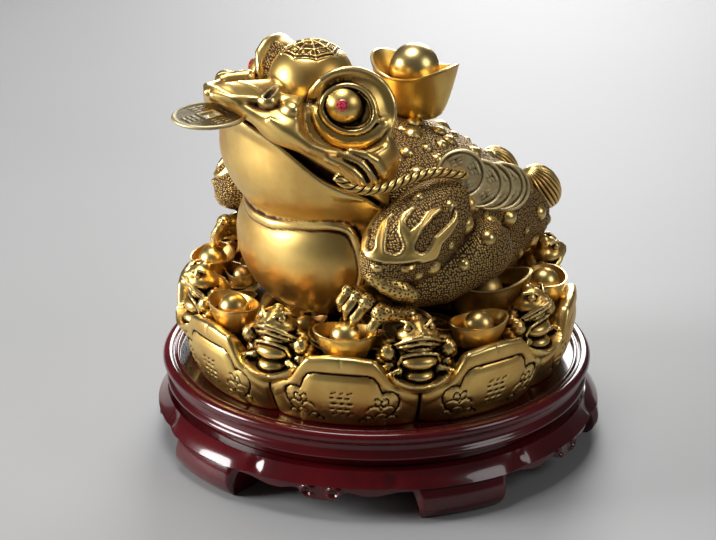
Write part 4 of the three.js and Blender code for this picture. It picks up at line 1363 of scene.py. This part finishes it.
# Small toads between the petals, each sitting in a boat of its own
smallToad = {
    "cell": 0.84, "ring": 84, "seat": 54,
    "shapes": [
        (0, oval, (0, 4, 18), (10, 8, 15)),
        (1.2, oval, (13, 0, 15), (5, 6.5, 7)),
        (0.7, oval, (0, -3, 25.5), (9, 6.5, 3.2)),
        (0, oval, (0, -6.5, 19.2), (8.6, 6.3, 3.9)),
        (0, oval, (0, -7.2, 12.2), (7, 5.9, 3.6)),
        (0.5, chain, [(8.6, -6, 11), (9.8, -6.5, 18.5), (8.4, -8, 22.4), (4, -9.4, 23.8), (0, -9.8, 24.1)], [0.8] * 5),
        (0, oval, (0, -3.2, 31.4), (9.8, 8.6, 5.2), 12),
        (1.5, oval, (0, -4, 35.2), (6.2, 5.4, 3.6)),
        (1, bar, (0, -10.4, 33.8), (0, -5, 35.5), 2.4, 3.6),
        (0.4, chain, [(0, -12.6, 33.4), (3.8, -11.4, 32.5), (8, -8.2, 29.9), (11.2, -4.4, 27)], [1.2, 1.2, 1.1, 0.8]),
        (0.4, chain, [(0, -11, 30), (4.6, -9.8, 28.7), (8.6, -6.8, 26.9), (10.6, -4, 25.6)], [1, 1, 0.9, 0.7]),
        (0.8, oval, (0, -1.6, 37.9), (3.1, 3.2, 3)),
        (0.3, oval, (5.5, -6.6, 36.2), (2, 2, 2)),
        (0.4, chain, [(7.8, -2.8, 38.2), (5.6, -6.2, 39), (2.6, -8.8, 37.2)], [0.8, 0.9, 0.7]),
        (0.8, bar, (8, 1, 27), (14, -1, 26), 3, 3),
        (0, oval, (17, -1, 20.5), (2.8, 4, 3.6)),
        (0.5, oval, (14.6, -4.6, 24), (3.8, 3.6, 4.2), 20),
        (0.5, bar, (9.8, -8, 15.4), (15, -9.2, 14.2), 1.8, 1.4),
    ],
    "hull": ((0, -10, 14.4), (15, 7.6, 9.4)), "hollow": ((0, -9.8, 15.8), (13, 5.9, 5.6)),
    "palms": [((14.6, 24), 1), ((12.6, 14.8), 0.9)],  # middle in x and z, and depth of the toes' grooves
}


def smallField(x, y, z):
    x = np.abs(x)
    hull = trim(oval(x, y, z, *smallToad["hull"]), z - 10.2 - 0.025 * x * x, 0.6)
    hull = trim(hull, -oval(x, y, z, *smallToad["hollow"]), 0.5)
    return melt(joined(x, y, z, smallToad["shapes"]), hull, 0.5)


def smallToadPieces():
    points, faces, normals = sculpt(smallField, (-22, -18, -3), (22, 14, 46), smallToad["cell"])
    x, y, z = np.abs(points[:, 0]), points[:, 1], points[:, 2]
    front = ease(-y, 2, 5)
    mouth = z - 31.6 + 0.046 * x * x
    lines = 0.5 * rise(mouth, 0.7) * front * (x < 10.5) + 0.5 * rise(mouth + 4.6, 0.6) * front * (x < 9)
    eye = np.sqrt((x - 5.5) ** 2 + (y + 8.3) ** 2 + (z - 36.4) ** 2)
    lines += 0.3 * rise(eye - 1.4, 0.6)
    lines += 0.5 * rise(np.hypot(x - 1.3, z - 35), 0.8) * ease(-y, 9.5, 11)
    for (cx, cz), depth in smallToad["palms"]:
        toes = 0.5 - 0.5 * np.cos((x - cx + 0.45 * (z - cz)) * 2 * math.pi / 1.9)
        lines += 0.65 * depth * toes * rise(np.hypot(x - cx, z - cz), 4.4) * ease(-y, 1.5, 4)
    (cx, cz), _ = smallToad["palms"][0]
    folds = 0.5 + 0.5 * np.cos((z - 0.5 * x + 0.4 * y) * 2 * math.pi / 2.6)
    lines += 0.45 * folds * ease(x, 10.5, 12) * ease(z, 16, 18) * (1 - rise(np.hypot(x - cx, z - cz), 4.4))
    scales = rise(cells(points[:, 0], y, z, 2.3), 1.3)
    height = 0.35 * (scales - 0.5) * ease(y, -4, 0) * ease(z, 12, 16) - lines
    shade = openness(smallField, points, normals) * ease(z, -2, 12) - 0.5 * np.clip(lines, 0, 1)
    points = points + normals * height[:, None] + np.array([0, -smallToad["ring"], smallToad["seat"]])
    points[:, 2] = np.maximum(points[:, 2], smallToad["seat"])
    parts = [(spun(points, 22.5 + 45 * i), faces, {"open": shade}) for i in range(8)]
    for half, group in (("front", parts[:4]), ("rear", parts[4:])):
        addCast(f"small_toads_{half}", *merged(group))


smallToadPieces()

# Stand: a turned tray on a ring with five feet, all in glossy lacquer
tray = {
    "around": 256,
    "profile": [(99.3, 24.35), (99.5, 26.4), (99.8, 28.4), (101.4, 29), (103.8, 29.1), (105.1, 29.7), (105.3, 30.6),
                (104.7, 31.6), (103.7, 32.6), (103.1, 34), (103.1, 35.6), (103.7, 37), (104.9, 37.9), (106.2, 38.8),
                (106.95, 40.2), (106.8, 41.6), (106.0, 42.7), (104.8, 43.3), (103.4, 43.45), (102.2, 43.0),
                (101.6, 42.2), (101.1, 41.9), (100.6, 42.2), (100.0, 42.7), (99.2, 42.75), (98.6, 42.3),
                (98.4, 41.4), (98.2, 40.4)],
}
foot = {
    "count": 5, "first": -85, "columns": 150,
    "inner": 80, "outer": 113, "shoulder": 105, "apron": 14.6, "waist": 16.2, "top": 24,
    "curl": (62.6, 13.4, 2.6),  # along the rim from a foot, height and radius
}


def trayPiece():
    profile = smoothPath(tray["profile"], 0.85 * coarse)
    profile = np.concatenate([[(2, 24.35), (60, 24.35)], profile, [(90, 40.25), (60, 40.25), (2, 40.25)]])
    turn = fullTurn(tray["around"])
    points, faces = skin([levelRing(radius, turn, z) for radius, z in profile])
    addPiece("lacquered_tray", points, faces, {}, lacquerMaterial, "stand_tray", 50)


def footPiece():
    columns = int(foot["columns"] / coarse) * 5
    turn = fullTurn(columns)
    step = 2 * math.pi / foot["count"]
    away = (turn - math.radians(foot["first"])) / step
    away = np.abs(away - np.round(away)) * step * 110  # millimetres along the rim from the foot's middle
    legs = 1 - ease(away, 20, 25)
    bottom = foot["apron"] * (1 - legs)
    bottom = bottom - 2.4 * ease(away, 30, 44) + 1.6 * ease(away, 48, 55) - 5 * ease(away, 56, 66)
    bottom = np.maximum(bottom, 0)
    knee = 1 - ease(away, 20, 34)
    rows = []

    def row(radius, z):
        z = np.broadcast_to(z, turn.shape)
        rows.append(np.stack([radius * np.cos(turn), radius * np.sin(turn), z], 1))

    row(foot["inner"] + 12 * legs, bottom)
    row(foot["outer"] - 6, bottom)
    along, height, radius = foot["curl"]
    for share in np.linspace(0, 1, 20):
        z = bottom + (foot["waist"] - bottom) * share
        flare = foot["outer"] - 3.6 + 2.8 * np.sin(math.pi * np.clip(z / 18, 0, 1)) * legs - 1.4 * (1 - legs)
        flare = flare - 2.0 * legs * (1 - np.clip(z / 8, 0, 1)) ** 2 - 0.8 * (share < 0.02)
        curl = rise(np.hypot(away - along, z - height) - radius, 1.7)
        curl = curl * (1 - 0.8 * rise(np.hypot(away - along - radius, z - height), 2))
        row(np.minimum(flare + 1.5 * curl, foot["outer"] - 0.05), z)
    for share in np.linspace(0, 1, 10)[1:]:
        slope = foot["outer"] - 0.6 - (foot["outer"] - foot["shoulder"] - 0.6) * share ** 0.8
        ridge = (1.2 * knee - rise(away - 34, 5)) * math.sin(math.pi * share)
        row(slope - 1.4 * (1 - knee) * (1 - share) + ridge, foot["waist"] + (foot["top"] - foot["waist"]) * share)
    row(foot["inner"], foot["top"])
    points, faces = skin(rows, closedRows=True)
    node = "stand_foot_frame"
    addPiece("lacquered_feet", points, faces, {}, lacquerMaterial, node, 35)


trayPiece()
footPiece()

print(f"{sum(triangleCounts)} triangles in all")
